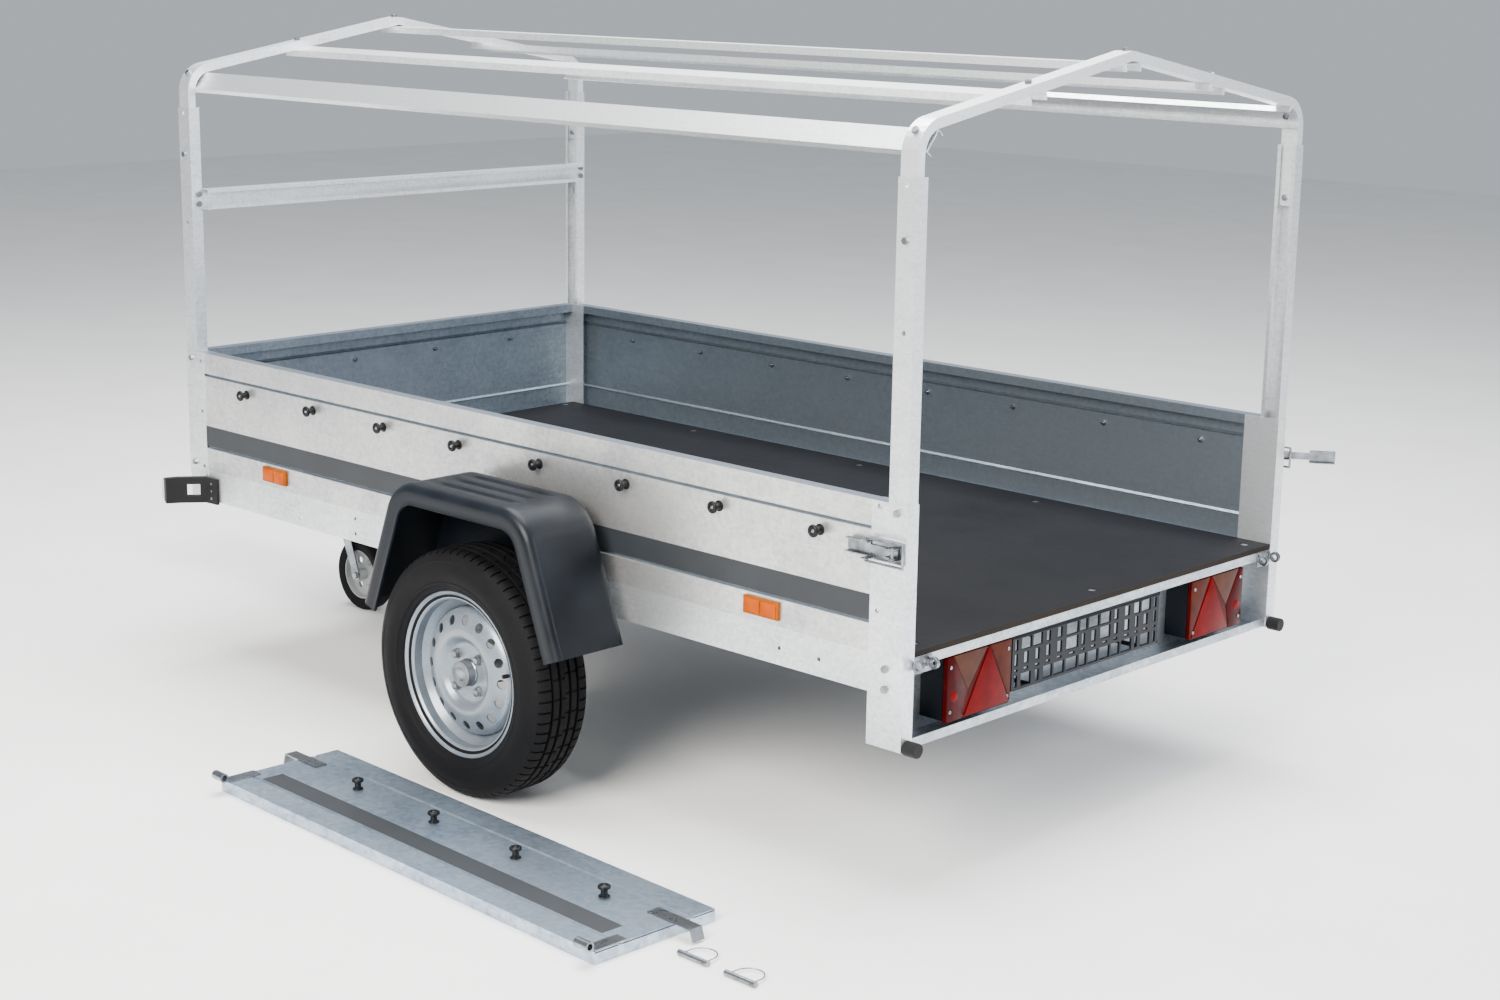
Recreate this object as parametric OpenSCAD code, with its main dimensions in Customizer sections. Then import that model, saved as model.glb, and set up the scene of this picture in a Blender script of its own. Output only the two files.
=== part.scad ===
// Light single-axle utility trailer with a raised tarpaulin frame.
// X points forward, Y to the trailer's left and Z up. Each module is drawn in trailer axes: the
// axle line is at x = 0 and the ground at z = 0. in_frame() then moves it so that the origin is
// the centre of the tow-ball socket.

/* [Load bed] */
// Length of the bed over the front and rear posts
bed_l = 2385; // [1900:5:3000]
// Distance from the rear end of the bed to the axle line
rear_overhang = 1048; // [800:1:1300]
// Width of the bed over its side panels
bed_w = 1313; // [1050:1:1600]
// Height of the folded side panels
wall_h = 299; // [240:1:400]
// Depth of a panel's top and bottom folds, and of the posts and uprights round them
fold_d = 30; // [24:1:40]
// Drop of the lip at a panel's top fold
fold_lip = 22; // [12:1:30]
// Thickness of the panel sheet
panel_t = 1.5; // [1:0.1:3]
// Depth of the pressed grooves in the panels
groove_d = 4; // [2:0.5:6]
// Height of the upper groove above the bottom of the panel
groove_high = 244; // [180:1:290]
// Height of the lower groove above the bottom of the panel
groove_low = 60; // [30:1:110]
// Thickness of the plywood floor
floor_t = 12; // [9:1:18]

/* [Chassis] */
// Height of the top of the chassis above the ground
frame_top = 488; // [450:1:560]
// Height of the side and cross members
member_h = 78; // [60:1:90]
// Thickness of the member sheet
member_t = 2.5; // [2:0.1:4]
// Width of a cross member
cross_w = 40; // [30:1:60]
// Height of the rear sill
sill_h = 180; // [150:1:190]
// Depth of the lamp recess in the rear sill
sill_d = 70; // [60:1:90]
// Height of the sill's two lips
sill_lip = 19; // [12:1:24]
// Thickness of the sill sheet
sill_t = 2; // [1.5:0.1:3]

/* [Posts and uprights] */
// Width of a rear corner post along the side
rear_post_w = 86; // [70:1:110]
// Width of a front corner post along the side
front_post_w = 75; // [60:1:100]
// Distance that a rear post reaches below the chassis top
rear_post_drop = 183; // [181:1:200]
// Distance that a front post reaches below the chassis top
front_post_drop = 18; // [10:1:50]
// Width of an upright channel
upright_w = 46; // [44:1:60]
// Thickness of an upright channel
upright_t = 2; // [1.5:0.1:2.4]
// Height of the uprights above the panels
upright_rise = 608; // [400:1:800]
// Width of an upright's lips
upright_lip = 8; // [5:1:10]

/* [Tarpaulin frame] */
// Height of the eaves above the ground
eave_z = 1491; // [1450:1:1900]
// Height of the ridge above the ground
ridge_z = 1610; // [1590:1:2050]
// Width of the bow tube along the trailer
bow_w = 40; // [30:1:41]
// Depth of the bow tube
bow_d = 20; // [15:1:22]
// Wall of the bow tube
bow_wall = 1.5; // [1:0.1:3]
// Outer radius of the bow at the eaves
eave_r = 70; // [60:1:90]
// Outer radius of the bow at the ridge
ridge_r = 60; // [40:1:80]
// Height of the bow legs' lower ends
leg_z = 1262; // [1200:1:1300]
// Width of a roof rail
rail_w = 50; // [40:1:60]
// Depth of a roof rail
rail_d = 16; // [10:1:20]
// Thickness of the rail sheet
rail_t = 1.5; // [1:0.1:2.5]
// Distance of the middle rails from the centre line
mid_rail_y = 311; // [200:1:400]
// Height of the middle of the front cross rail
front_rail_z = 1170; // [1000:1:1350]
// Height of the front cross rail's section
front_rail_h = 50; // [40:1:60]

/* [Wheels] */
// Outer diameter of a tyre
tyre_d = 547; // [500:1:600]
// Width of a tyre
tyre_w = 157; // [135:1:175]
// Diameter of the rim's bead seat
bead_d = 330; // [305:1:356]
// Diameter over the rim's flanges
rim_d = 365; // [340:1:392]
// Width over the rim's flanges
rim_w = 128; // [110:1:140]
// Distance of a wheel's centre plane from the centre line
wheel_y = 815; // [800:1:1000]
// Distance of the hub face outside a wheel's centre plane
rim_offset = 30; // [10:1:40]
// Number of vent holes in a rim
vents = 16; // [8:1:20]
// Diameter of a vent hole
vent_d = 21; // [14:1:24]
// Pitch circle of the wheel bolts
wheel_pcd = 100; // [98:1:112]

/* [Axle] */
// Distance of the axle tube in front of the wheels
arm_x = 150; // [120:1:180]
// Height of the axle tube above the wheel centres
arm_rise = 36.5; // [20:0.5:45]
// Width of the square axle tube
axle_w = 60; // [50:1:60]
// Radius of the torsion shaft
torsion_r = 16; // [12:0.5:20]
// Radius of the stub axle
stub_r = 12.5; // [10:0.5:15]
// Thickness of a trailing arm
arm_t = 24; // [16:1:30]
// Radial running clearance of shafts in their bores
run = 0.05; // [0.02:0.01:0.08]

/* [Fenders] */
// Height of a fender's top above the ground
fender_z = 668; // [640:1:720]
// Height of a fender's lower ends
fender_low = 375; // [330:1:420]
// Half length of a fender at its lower ends
fender_foot = 326; // [300:1:360]
// Half length of a fender's top before its corners are rounded
fender_top = 215; // [180:1:250]
// Radius of a fender's corners
fender_r = 100; // [80:1:120]
// Distance of a fender's inner wall from the side panel
fender_gap = 43; // [35:1:60]
// Width of a fender
fender_w = 186; // [180:1:220]
// Depth of the outer lip of a fender
fender_lip = 50; // [30:1:60]
// Thickness of the fender's plastic
fender_t = 4; // [3:0.5:6]

/* [Drawbar and coupling] */
// Width and height of the square drawbar
bar_w = 70; // [60:1:80]
// Wall of the drawbar
bar_wall = 4; // [3:0.5:6]
// Distance of the tow ball in front of the bed
ball_reach = 863; // [700:1:1200]
// Radius of the ball socket
ball_r = 25.3; // [25.1:0.1:26]

/* [Jockey wheel] */
// Distance of the jockey tube in front of the bed
jockey_front = 63; // [50:1:100]
// Distance of the jockey tube from the centre line
jockey_y = 100; // [90:1:120]
// Diameter of the jockey wheel
jockey_d = 200; // [160:1:220]
// Width of the jockey wheel
jockey_w = 50; // [40:1:60]
// Trail of the jockey wheel behind its tube
trail = 45; // [30:1:55]
// Outer radius of the outer tube
tube_r = 24; // [24:0.5:30]
// Wall of the outer tube
tube_wall = 2.5; // [2:0.1:3]

/* [Lamps] */
// Width of a rear lamp
lamp_w = 200; // [180:1:220]
// Height of a rear lamp
lamp_h = 133; // [120:1:140]
// Distance of a rear lamp's inner edge from the centre line
lamp_y = 320; // [319:1:360]
// Height of the middle of the rear lamps above the bottom of the sill
lamp_up = 91; // [88:1:94]
// Thickness of a lamp's lens
lens_t = 12; // [8:1:16]
// Width of the number plate holder
plate_w = 518; // [500:1:518]
// Height of the number plate holder
plate_h = 114; // [100:1:120]

/* [Tailgate] */
// Length of the tailgate
gate_l = 1237; // [990:1:1500]
// Height of the tailgate
gate_h = 300; // [240:1:400]
// Thickness of the tailgate
gate_t = 26; // [20:1:30]
// Length of a hinge tube
hinge_l = 36; // [28:1:40]
// Outer radius of a hinge tube
hinge_r = 10; // [9:0.5:12]
// Radius of the hinge bores
hinge_bore = 6.2; // [5.8:0.1:7]
// Radius of a lock pin
pin_r = 5.7; // [5:0.1:6.5]
// Length of a lock pin
pin_l = 74; // [60:1:90]
// Diameter of the spring wire
wire_d = 2.6; // [2:0.1:3.5]

/* [Latches and trim] */
// Height of the latches above the chassis top
latch_up = 206; // [150:1:230]
// Length of a latch lever
lever_l = 121; // [100:1:140]
// Height of a latch lever
lever_h = 28; // [20:1:28]
// Diameter of a bail's wire
bail_d = 5; // [4:0.5:5]
// Length of a bail
bail_l = 92; // [80:1:100]
// Number of tarpaulin knobs on a side
side_knobs = 8; // [4:1:9]
// Spacing of the tarpaulin knobs
knob_step = 273; // [200:1:290]
// Radius of a tarpaulin knob's head
knob_r = 13; // [10:0.5:16]

/* [Hidden] */
$fn = 48;

rear_x = -rear_overhang;
front_x = bed_l - rear_overhang;
half_w = bed_w / 2;
top_z = frame_top + wall_h;
member_z = frame_top - member_h;
post_in = half_w - fold_d - panel_t;
post_out = half_w + panel_t;
axle_z = tyre_d / 2;
tube_z = axle_z + arm_rise;
hub_y = wheel_y + rim_offset;
bar_z = member_z - bar_w / 2;
ball_x = front_x + ball_reach;
ball_z = bar_z + 15;
sill_z = frame_top - sill_h;
seat_gap = 0.3;
bolt_r = 4;
hole_r = bolt_r + 0.3;
nut_r = 7.5;
nut_t = 6.5;
in_steel = "lightsteelblue";
steel = "silver";
plastic = "#2b2b2d";

// ---------- shared shapes ----------
function unit(v) = v / norm(v);
function turn_left(a, b) = let (d = unit(b - a)) [-d[1], d[0]];
function mitre(path, i) =
    let (last = len(path) - 1,
         a = turn_left(path[max(i - 1, 0)], path[max(i, 1)]),
         b = turn_left(path[min(i, last - 1)], path[min(i + 1, last)]))
    (a + b) / (1 + a * b);
function moved(path, d) = [for (i = [0:len(path) - 1]) path[i] + d * mitre(path, i)];
function reversed(path) = [for (i = [len(path) - 1:-1:0]) path[i]];
function sheet(path, t) = concat(path, reversed(moved(path, t)));
function wrapped(a) = a - 360 * round(a / 360);
// Centre of the arc that rounds the corner b between a and c
function corner_centre(a, b, c, r) =
    let (u = unit(a - b), v = unit(c - b), half = acos(u * v) / 2)
    b + unit(u + v) * r / sin(half);
function rounded(a, b, c, r, n = 8) =
    let (u = unit(a - b), v = unit(c - b), reach = r / tan(acos(u * v) / 2),
         o = corner_centre(a, b, c, r), p = b + reach * u - o, q = b + reach * v - o,
         start = atan2(p[1], p[0]), sweep = wrapped(atan2(q[1], q[0]) - start))
    [for (i = [0:n]) o + r * [cos(start + sweep * i / n), sin(start + sweep * i / n)]];

module in_frame() translate([-ball_x, 0, -ball_z]) children();
module along_x(a, b) translate([a, 0, 0]) rotate([90, 0, 90]) linear_extrude(b - a) children();
module along_y(a, b) translate([0, b, 0]) rotate([90, 0, 0]) linear_extrude(b - a) children();
module along_z(a, b) translate([0, 0, a]) linear_extrude(b - a) children();
module both_sides() {
    children();
    mirror([0, 1, 0]) children();
}
module rod_x(y, z, r, a, b) translate([a, y, z]) rotate([0, 90, 0]) cylinder(r = r, h = b - a);
module rod_y(x, z, r, a, b) translate([x, a, z]) rotate([-90, 0, 0]) cylinder(r = r, h = b - a);
module rod_z(x, y, r, a, b) translate([x, y, a]) cylinder(r = r, h = b - a);
// A box between two corners
module block(a, b) translate(a) cube(b - a);
// A hexagon bolt whose head stands on z = 0 and whose nut is at grip below it
module bolt(grip, r = bolt_r) {
    cylinder(r = nut_r, h = nut_t, $fn = 6);
    translate([0, 0, -grip - nut_t - 2]) cylinder(r = r, h = grip + nut_t + 2);
    translate([0, 0, -grip - nut_t]) difference() {
        cylinder(r = nut_r, h = nut_t, $fn = 6);
        translate([0, 0, -1]) cylinder(r = r, h = nut_t + 2);
    }
}
// Turns +Z to point out of the trailer's left side
module facing_left(x, y, z) translate([x, y, z]) rotate([-90, 0, 0]) children();

// ---------- load bed ----------
// Outline of a folded panel whose outer face is at the distance w
function panel_path(w) =
    let (b = frame_top, g = groove_d)
    [[w - fold_d, b], [w, b],
     [w, b + groove_low - g], [w - g, b + groove_low], [w, b + groove_low + g],
     [w, b + groove_high - g], [w - g, b + groove_high], [w, b + groove_high + g],
     [w, top_z], [w - fold_d, top_z], [w - fold_d, top_z - fold_lip]];
knob_z = frame_top + 217;
knob_stud_r = 3;
function side_knob_x(i) = front_x - 256 - knob_step * i;
front_knobs = 4;
function front_knob_y(i) = (i - (front_knobs - 1) / 2) * knob_step;

module side_panels() in_frame() color(steel) both_sides() difference() {
    along_x(rear_x + upright_w, front_x - upright_w) polygon(sheet(panel_path(half_w), panel_t));
    for (i = [0:side_knobs - 1])
        rod_y(side_knob_x(i), knob_z, knob_stud_r + 0.2, half_w - 10, half_w + 10);
}
module front_panel() in_frame() color(in_steel) difference() {
    along_y(-post_in, post_in) polygon(sheet(panel_path(front_x), panel_t));
    for (i = [0:front_knobs - 1])
        rod_x(front_knob_y(i), knob_z, knob_stud_r + 0.2, front_x - 10, front_x + 10);
}
floor_end = front_x - fold_d - 0.5;
module floor_board() in_frame() color("#33312f") difference() {
    block([rear_x, -post_in, frame_top], [floor_end, post_in, frame_top + floor_t]);
    floor_bolt_places() {
        translate([0, 0, -floor_t - 5]) cylinder(r = hole_r, h = floor_t + 10);
        translate([0, 0, -2.5]) cylinder(r = 10.3, h = 5);
    }
}
// Middles of the cross members, from the front to the rear
cross_x = [front_x - cross_w / 2, 760, arm_x, -420];
floor_bolt_y = post_in - 45;
floor_bolt_x = concat([floor_end - 18], [for (i = [1:3]) cross_x[i]], [rear_x + 40]);
module floor_bolt_places() for (x = floor_bolt_x, y = [-floor_bolt_y, 0, floor_bolt_y])
    translate([x, y, frame_top + floor_t]) children();
module floor_bolts() in_frame() color(steel) floor_bolt_places() {
    translate([0, 0, -2.5]) cylinder(r = 10, h = 2.5);
    translate([0, 0, -floor_t - 12]) cylinder(r = bolt_r, h = floor_t + 12);
}

// ---------- chassis ----------
module side_members() in_frame() color(steel) both_sides() difference() {
    along_x(rear_x, front_x) polygon(sheet(
        [[half_w - fold_d, member_z], [half_w, member_z],
         [half_w, frame_top], [half_w - fold_d, frame_top]], member_t));
    for (x = [front_x - 465, front_x - 687], z = [member_z + 20, member_z + 57])
        rod_y(x, z, hole_r, half_w - 10, half_w + 10);
    for (x = [rear_x + 214, rear_x + 320])
        rod_y(x, member_z + 35, hole_r, half_w - 10, half_w + 10);
    for (z = low_bolt_z) rod_y(low_bolt_x, z, hole_r, half_w - 10, half_w + 10);
}
module cross_members() in_frame() color(in_steel) difference() {
    for (x = cross_x) along_y(-half_w + fold_d, half_w - fold_d) polygon(sheet(
        [[x - cross_w / 2, member_z], [x + cross_w / 2, member_z],
         [x + cross_w / 2, frame_top], [x - cross_w / 2, frame_top]], member_t));
    floor_bolt_places() translate([0, 0, -floor_t - 12]) cylinder(r = hole_r, h = floor_t + 12);
    // The front cross member's ends are notched round the posts' inner flanges
    both_sides() block([front_x - front_post_w - 1, post_in - 0.2, frame_top - front_post_drop - 0.2],
                       [front_x + 1, half_w, frame_top + 1]);
}
module rear_sill() in_frame() color(in_steel) difference() {
    along_y(-post_in, post_in) polygon(sheet(
        [[rear_x, frame_top - sill_lip], [rear_x, frame_top], [rear_x + sill_d, frame_top],
         [rear_x + sill_d, sill_z], [rear_x, sill_z], [rear_x, sill_z + sill_lip]], -sill_t));
    floor_bolt_places() translate([0, 0, -floor_t - 12]) cylinder(r = hole_r, h = floor_t + 12);
}

// ---------- posts, uprights and their bolts ----------
// Folded post round the end of a side, from the inner sheet over the end to the outer sheet
module post(end_x, w, low, high) {
    out = end_x > 0 ? 1 : -1;
    along_z(low, high) polygon(sheet(
        [[end_x - out * w, post_in], [end_x + out * panel_t, post_in],
         [end_x + out * panel_t, post_out], [end_x - out * w, post_out]], out * panel_t));
}
// Lipped channel that stands in a post, open towards the inside of the trailer
module upright(end_x) {
    out = end_x > 0 ? -1 : 1;
    a = end_x;
    b = end_x + out * upright_w;
    in_y = half_w - fold_d;
    along_z(frame_top, top_z + upright_rise) polygon(sheet(
        [[a + out * upright_lip, in_y], [a, in_y], [a, half_w], [b, half_w], [b, in_y],
         [b - out * upright_lip, in_y]], -out * upright_t));
}
low_bolt_x = rear_x + 42;
low_bolt_z = [frame_top - 25, frame_top - 65];
bow_x = [rear_x + upright_w / 2, front_x - upright_w / 2];
post_bolt_z = top_z - 17;
foot_bolt_z = frame_top + 14;
leg_bolt_z = top_z + upright_rise - 115;
upright_hole_z = [top_z + upright_rise - 14, top_z + 323];

module rear_posts() in_frame() color(steel) both_sides() difference() {
    post(rear_x, rear_post_w, frame_top - rear_post_drop, top_z);
    rod_y(bow_x[0], post_bolt_z, hole_r, half_w - 10, half_w + 10);
    for (z = low_bolt_z) rod_y(low_bolt_x, z, hole_r, half_w - 10, half_w + 10);
    buffer_bore();
}
module front_posts() in_frame() color(steel) both_sides() difference() {
    post(front_x, front_post_w, frame_top - front_post_drop, top_z);
    for (z = [post_bolt_z, foot_bolt_z]) rod_y(bow_x[1], z, hole_r, half_w - 10, half_w + 10);
}
module upright_holes(x, bolts) {
    for (z = concat(bolts, [leg_bolt_z])) rod_y(x, z, hole_r, half_w - 10, half_w + 10);
    for (z = upright_hole_z) rod_y(x, z, 5, half_w - 10, half_w + 10);
}
module uprights() in_frame() color(steel) both_sides() {
    difference() {
        upright(rear_x);
        upright_holes(bow_x[0], [post_bolt_z]);
    }
    difference() {
        upright(front_x);
        upright_holes(bow_x[1], [post_bolt_z, foot_bolt_z]);
        for (z = rail_bolt_z) rod_x(front_rail_y, z, hole_r, front_x - 60, front_x + 10);
    }
}

// ---------- tarpaulin frame ----------
bow_half = half_w - upright_t - seat_gap;
slope = atan((ridge_z - eave_z) / bow_half);
eave_left = [bow_half, eave_z];
ridge = [0, ridge_z];
function mirrored(path) = [for (p = reversed(path)) [-p[0], p[1]]];
bow_side = concat([[bow_half, leg_z]], rounded([bow_half, leg_z], eave_left, ridge, eave_r));
bow_path = concat(bow_side, rounded(eave_left, ridge, [-bow_half, eave_z], ridge_r),
                  mirrored(bow_side));
function lowered(path, d) = [for (i = [0:len(path) - 1])
    path[i] - (i == 0 || i == len(path) - 1 ? [0, d] : [0, 0])];

module bow(x) difference() {
    along_x(x - bow_w / 2, x + bow_w / 2) polygon(sheet(bow_path, bow_d));
    along_x(x - bow_w / 2 + bow_wall, x + bow_w / 2 - bow_wall)
        polygon(sheet(lowered(moved(bow_path, bow_wall), 1), bow_d - 2 * bow_wall));
    for (s = [-1, 1]) rod_y(x, leg_bolt_z, hole_r, s * bow_half - 40, s * bow_half + 40);
    rail_places([x]) translate([0, 0, -10]) cylinder(r = hole_r, h = bow_d + 30);
}
module bows() in_frame() color(steel) for (x = bow_x) bow(x);

// Seats of the five rails under the bows: place, tilt, and height of the bow's outer skin above it
eave_o = corner_centre([bow_half, leg_z], eave_left, ridge, eave_r);
eave_in = sqrt(pow(eave_r - bow_d, 2) - pow(rail_w / 2, 2)) - seat_gap;
eave_tilt = 45 + slope / 2;
eave_seat = eave_o + eave_in * [sin(eave_tilt), cos(eave_tilt)];
mid_seat = [mid_rail_y + (bow_d + seat_gap) * -sin(slope),
            ridge_z - mid_rail_y * tan(slope) - (bow_d + seat_gap) * cos(slope)];
ridge_seat = [0, ridge_z - bow_d / cos(slope) - rail_w / 2 * tan(slope) - seat_gap];
ridge_skin = ridge_z - ridge_r * (1 / cos(slope) - 1) - ridge_seat[1];
RAILS = [[eave_seat, -eave_tilt, eave_r - eave_in], [mid_seat, -slope, bow_d + seat_gap],
         [ridge_seat, 0, ridge_skin],
         [[-mid_seat[0], mid_seat[1]], slope, bow_d + seat_gap],
         [[-eave_seat[0], eave_seat[1]], eave_tilt, eave_r - eave_in]];
module rail_places(xs) for (x = xs, s = RAILS)
    translate([x, s[0][0], s[0][1]]) rotate([s[1], 0, 0]) children();

module roof_rails() in_frame() color(steel) for (s = RAILS)
    translate([0, s[0][0], s[0][1]]) rotate([s[1], 0, 0]) difference() {
        along_x(rear_x, front_x) polygon(sheet(
            [[-rail_w / 2, -rail_d], [-rail_w / 2, 0], [rail_w / 2, 0], [rail_w / 2, -rail_d]],
            -rail_t));
        for (x = bow_x) translate([x, 0, -5]) cylinder(r = hole_r, h = 10);
    }

front_rail_d = 28;
rail_bolt_z = [front_rail_z - 12, front_rail_z + 12];
front_rail_y = half_w - fold_d + 12;
// Channel across the front uprights, with an ear at each end
module front_cross_rail() in_frame() color(steel) difference() {
    union() {
        along_y(-half_w + fold_d - 1, half_w - fold_d + 1) polygon(sheet(
            [[rail_back, front_rail_z - front_rail_h / 2 + 9],
             [rail_back, front_rail_z - front_rail_h / 2],
             [rail_face, front_rail_z - front_rail_h / 2],
             [rail_face, front_rail_z + front_rail_h / 2],
             [rail_back, front_rail_z + front_rail_h / 2],
             [rail_back, front_rail_z + front_rail_h / 2 - 9]], rail_t));
        both_sides() block([rail_face - rail_t, post_in - 20, front_rail_z - 22],
                           [rail_face, half_w - upright_t, front_rail_z + 22]);
    }
    both_sides() for (z = rail_bolt_z) rod_x(front_rail_y, z, hole_r, front_x - 60, front_x + 10);
}
rail_face = front_x - upright_w;
rail_back = rail_face - front_rail_d;

leg_grip = upright_t + seat_gap + bow_d;
module frame_bolts() in_frame() color(steel) {
    both_sides() {
        facing_left(bow_x[0], post_out, post_bolt_z) bolt(panel_t + upright_t);
        for (z = low_bolt_z) facing_left(low_bolt_x, post_out, z) bolt(panel_t + member_t);
        for (z = [post_bolt_z, foot_bolt_z])
            facing_left(bow_x[1], post_out, z) bolt(panel_t + upright_t);
        for (x = bow_x) facing_left(x, half_w, leg_bolt_z) bolt(leg_grip);
        for (z = rail_bolt_z) translate([rail_face - rail_t, front_rail_y, z])
            rotate([0, -90, 0]) bolt(rail_t + upright_t);
    }
    for (x = bow_x, s = RAILS) translate([x, s[0][0], s[0][1]]) rotate([s[1], 0, 0])
        translate([0, 0, s[2]]) bolt(s[2] + rail_t);
}
rivet_r = 4.5;
module rivets() in_frame() color(steel) both_sides() {
    for (z = [top_z - 10, frame_top + 85])
        facing_left(rear_x + 67, post_out, z) cylinder(r = rivet_r, h = 1.6);
    for (z = [top_z - 22, frame_top + 149, frame_top + 8])
        facing_left(front_x - 61, post_out, z) cylinder(r = rivet_r, h = 1.6);
}

// ---------- drawbar, axle and arms ----------
bar_rear = arm_x - axle_w / 2 - 10;
bar_front = ball_x - 52;
module drawbar() in_frame() color(in_steel) along_x(bar_rear, bar_front)
    translate([0, bar_z]) difference() {
        square(bar_w, center = true);
        square(bar_w - 2 * bar_wall, center = true);
    }
saddle_t = 5;
module drawbar_saddles() in_frame() color(in_steel) for (x = [cross_x[0], cross_x[1]])
    along_x(x - 25, x + 25) polygon(sheet(
        [[bar_w / 2 + 34, member_z - saddle_t], [bar_w / 2 + saddle_t, member_z - saddle_t],
         [bar_w / 2 + saddle_t, member_z - bar_w - saddle_t],
         [-bar_w / 2 - saddle_t, member_z - bar_w - saddle_t],
         [-bar_w / 2 - saddle_t, member_z - saddle_t],
         [-bar_w / 2 - 34, member_z - saddle_t]], -saddle_t));

axle_half = half_w - 2;
rubber_r = torsion_r + 6;
rubber_l = 110;
module axle_tube() in_frame() color(in_steel) difference() {
    block([arm_x - axle_w / 2, -axle_half, tube_z - axle_w / 2],
          [arm_x + axle_w / 2, axle_half, tube_z + axle_w / 2]);
    rod_y(arm_x, tube_z, rubber_r, -axle_half - 1, axle_half + 1);
}
module torsion_rubbers() in_frame() color("#1c1c1c") both_sides() difference() {
    rod_y(arm_x, tube_z, rubber_r, axle_half - rubber_l, axle_half);
    rod_y(arm_x, tube_z, torsion_r + run, axle_half - rubber_l - 1, axle_half + 1);
}
module axle_brackets() in_frame() color(in_steel) both_sides() difference() {
    block([arm_x - 45, half_w - fold_d, tube_z + axle_w / 2], [arm_x + 45, half_w - 3, member_z]);
    block([arm_x - 37, half_w - fold_d - 1, tube_z + axle_w / 2 + 6],
          [arm_x + 37, half_w - 2, member_z - 6]);
}
arm_y = half_w + 4;
stub_end = hub_y + 22;
// Trailing arm with its torsion shaft, its stub axle and the nut on the stub's end
module trailing_arm() color("dimgray") {
    along_y(arm_y, arm_y + arm_t) {
        translate([arm_x, tube_z]) circle(r = 30);
        translate([0, axle_z]) circle(r = 25);
        polygon([[arm_x, tube_z + 28], [0, axle_z + 23], [0, axle_z - 23], [arm_x, tube_z - 28]]);
    }
    rod_y(arm_x, tube_z, torsion_r, axle_half - rubber_l, arm_y + 1);
    rod_y(0, axle_z, stub_r, arm_y + 1, stub_end);
    rod_y(0, axle_z, stub_r + 5, hub_y + 8, hub_y + 20);
}
module trailing_arm_left() in_frame() trailing_arm();
module trailing_arm_right() in_frame() mirror([0, 1, 0]) trailing_arm();

// ---------- road wheels ----------
hub_flange_r = 66;
hub_flange_t = 10;
hub_in = arm_y + arm_t + 4;
bearing_r = 26;
nose_r = 29;
cap_wall = 2;
cap_end = hub_y + 28;
module wheel_bolt_places() for (i = [0:3])
    translate([0, hub_y, axle_z]) rotate([0, 45 + 90 * i, 0])
        translate([wheel_pcd / 2, 0, 0]) rotate([-90, 0, 0]) children();
// Hub with its two bearings, its four wheel bolts and its dust cap, as separate solids
module wheel_hub() {
    color("gray") difference() {
        union() {
            rod_y(0, axle_z, 38, hub_in, hub_y - 5);
            rod_y(0, axle_z, hub_flange_r, hub_y - hub_flange_t, hub_y);
            rod_y(0, axle_z, nose_r, hub_y - 1, hub_y + 5);
        }
        rod_y(0, axle_z, stub_r + 4, hub_in - 1, hub_y + 6);
        rod_y(0, axle_z, bearing_r, hub_in - 1, hub_in + 20);
        rod_y(0, axle_z, bearing_r, hub_y - 16, hub_y + 6);
        wheel_bolt_places() translate([0, 0, -20]) cylinder(r = 6.1, h = 30);
    }
    color("darkgray") for (y = [hub_in + 2, hub_y - 15]) difference() {
        rod_y(0, axle_z, bearing_r, y, y + 17);
        rod_y(0, axle_z, stub_r + run, y - 1, y + 18);
    }
    color("silver") wheel_bolt_places() {
        translate([0, 0, disc_t]) cylinder(r = 11, h = 9, $fn = 6);
        translate([0, 0, -16]) cylinder(r = 5.9, h = 16 + disc_t + 1);
    }
    color("silver") difference() {
        rod_y(0, axle_z, nose_r - 1, hub_y + 5, cap_end);
        rod_y(0, axle_z, nose_r - 1 - cap_wall, hub_y + 4, cap_end - cap_wall);
    }
}
disc_t = 4;
rim_t = 3;
rim_out = wheel_y + rim_w / 2;
rim_in = wheel_y - rim_w / 2;
bead_r = bead_d / 2;
well_r = bead_r - 20;
hat_r = 92;
// Distance from the axle and place along it, from the outer flange to the inner one
rim_path = [[rim_d / 2, rim_out], [rim_d / 2, rim_out - 4], [bead_r, rim_out - 10],
            [bead_r, rim_out - 32], [well_r, rim_out - 44], [well_r, rim_in + 58],
            [bead_r, rim_in + 40], [bead_r, rim_in + 10], [rim_d / 2, rim_in + 4],
            [rim_d / 2, rim_in]];
disc_path = [[nose_r + 0.5, hub_y], [70, hub_y], [78, hub_y + 12], [hat_r, hub_y + 14],
             [132, hub_y + 2], [well_r - rim_t - disc_t + 0.5, hub_y - 11],
             [well_r - rim_t - disc_t + 0.5, hub_y - 28]];
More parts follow.
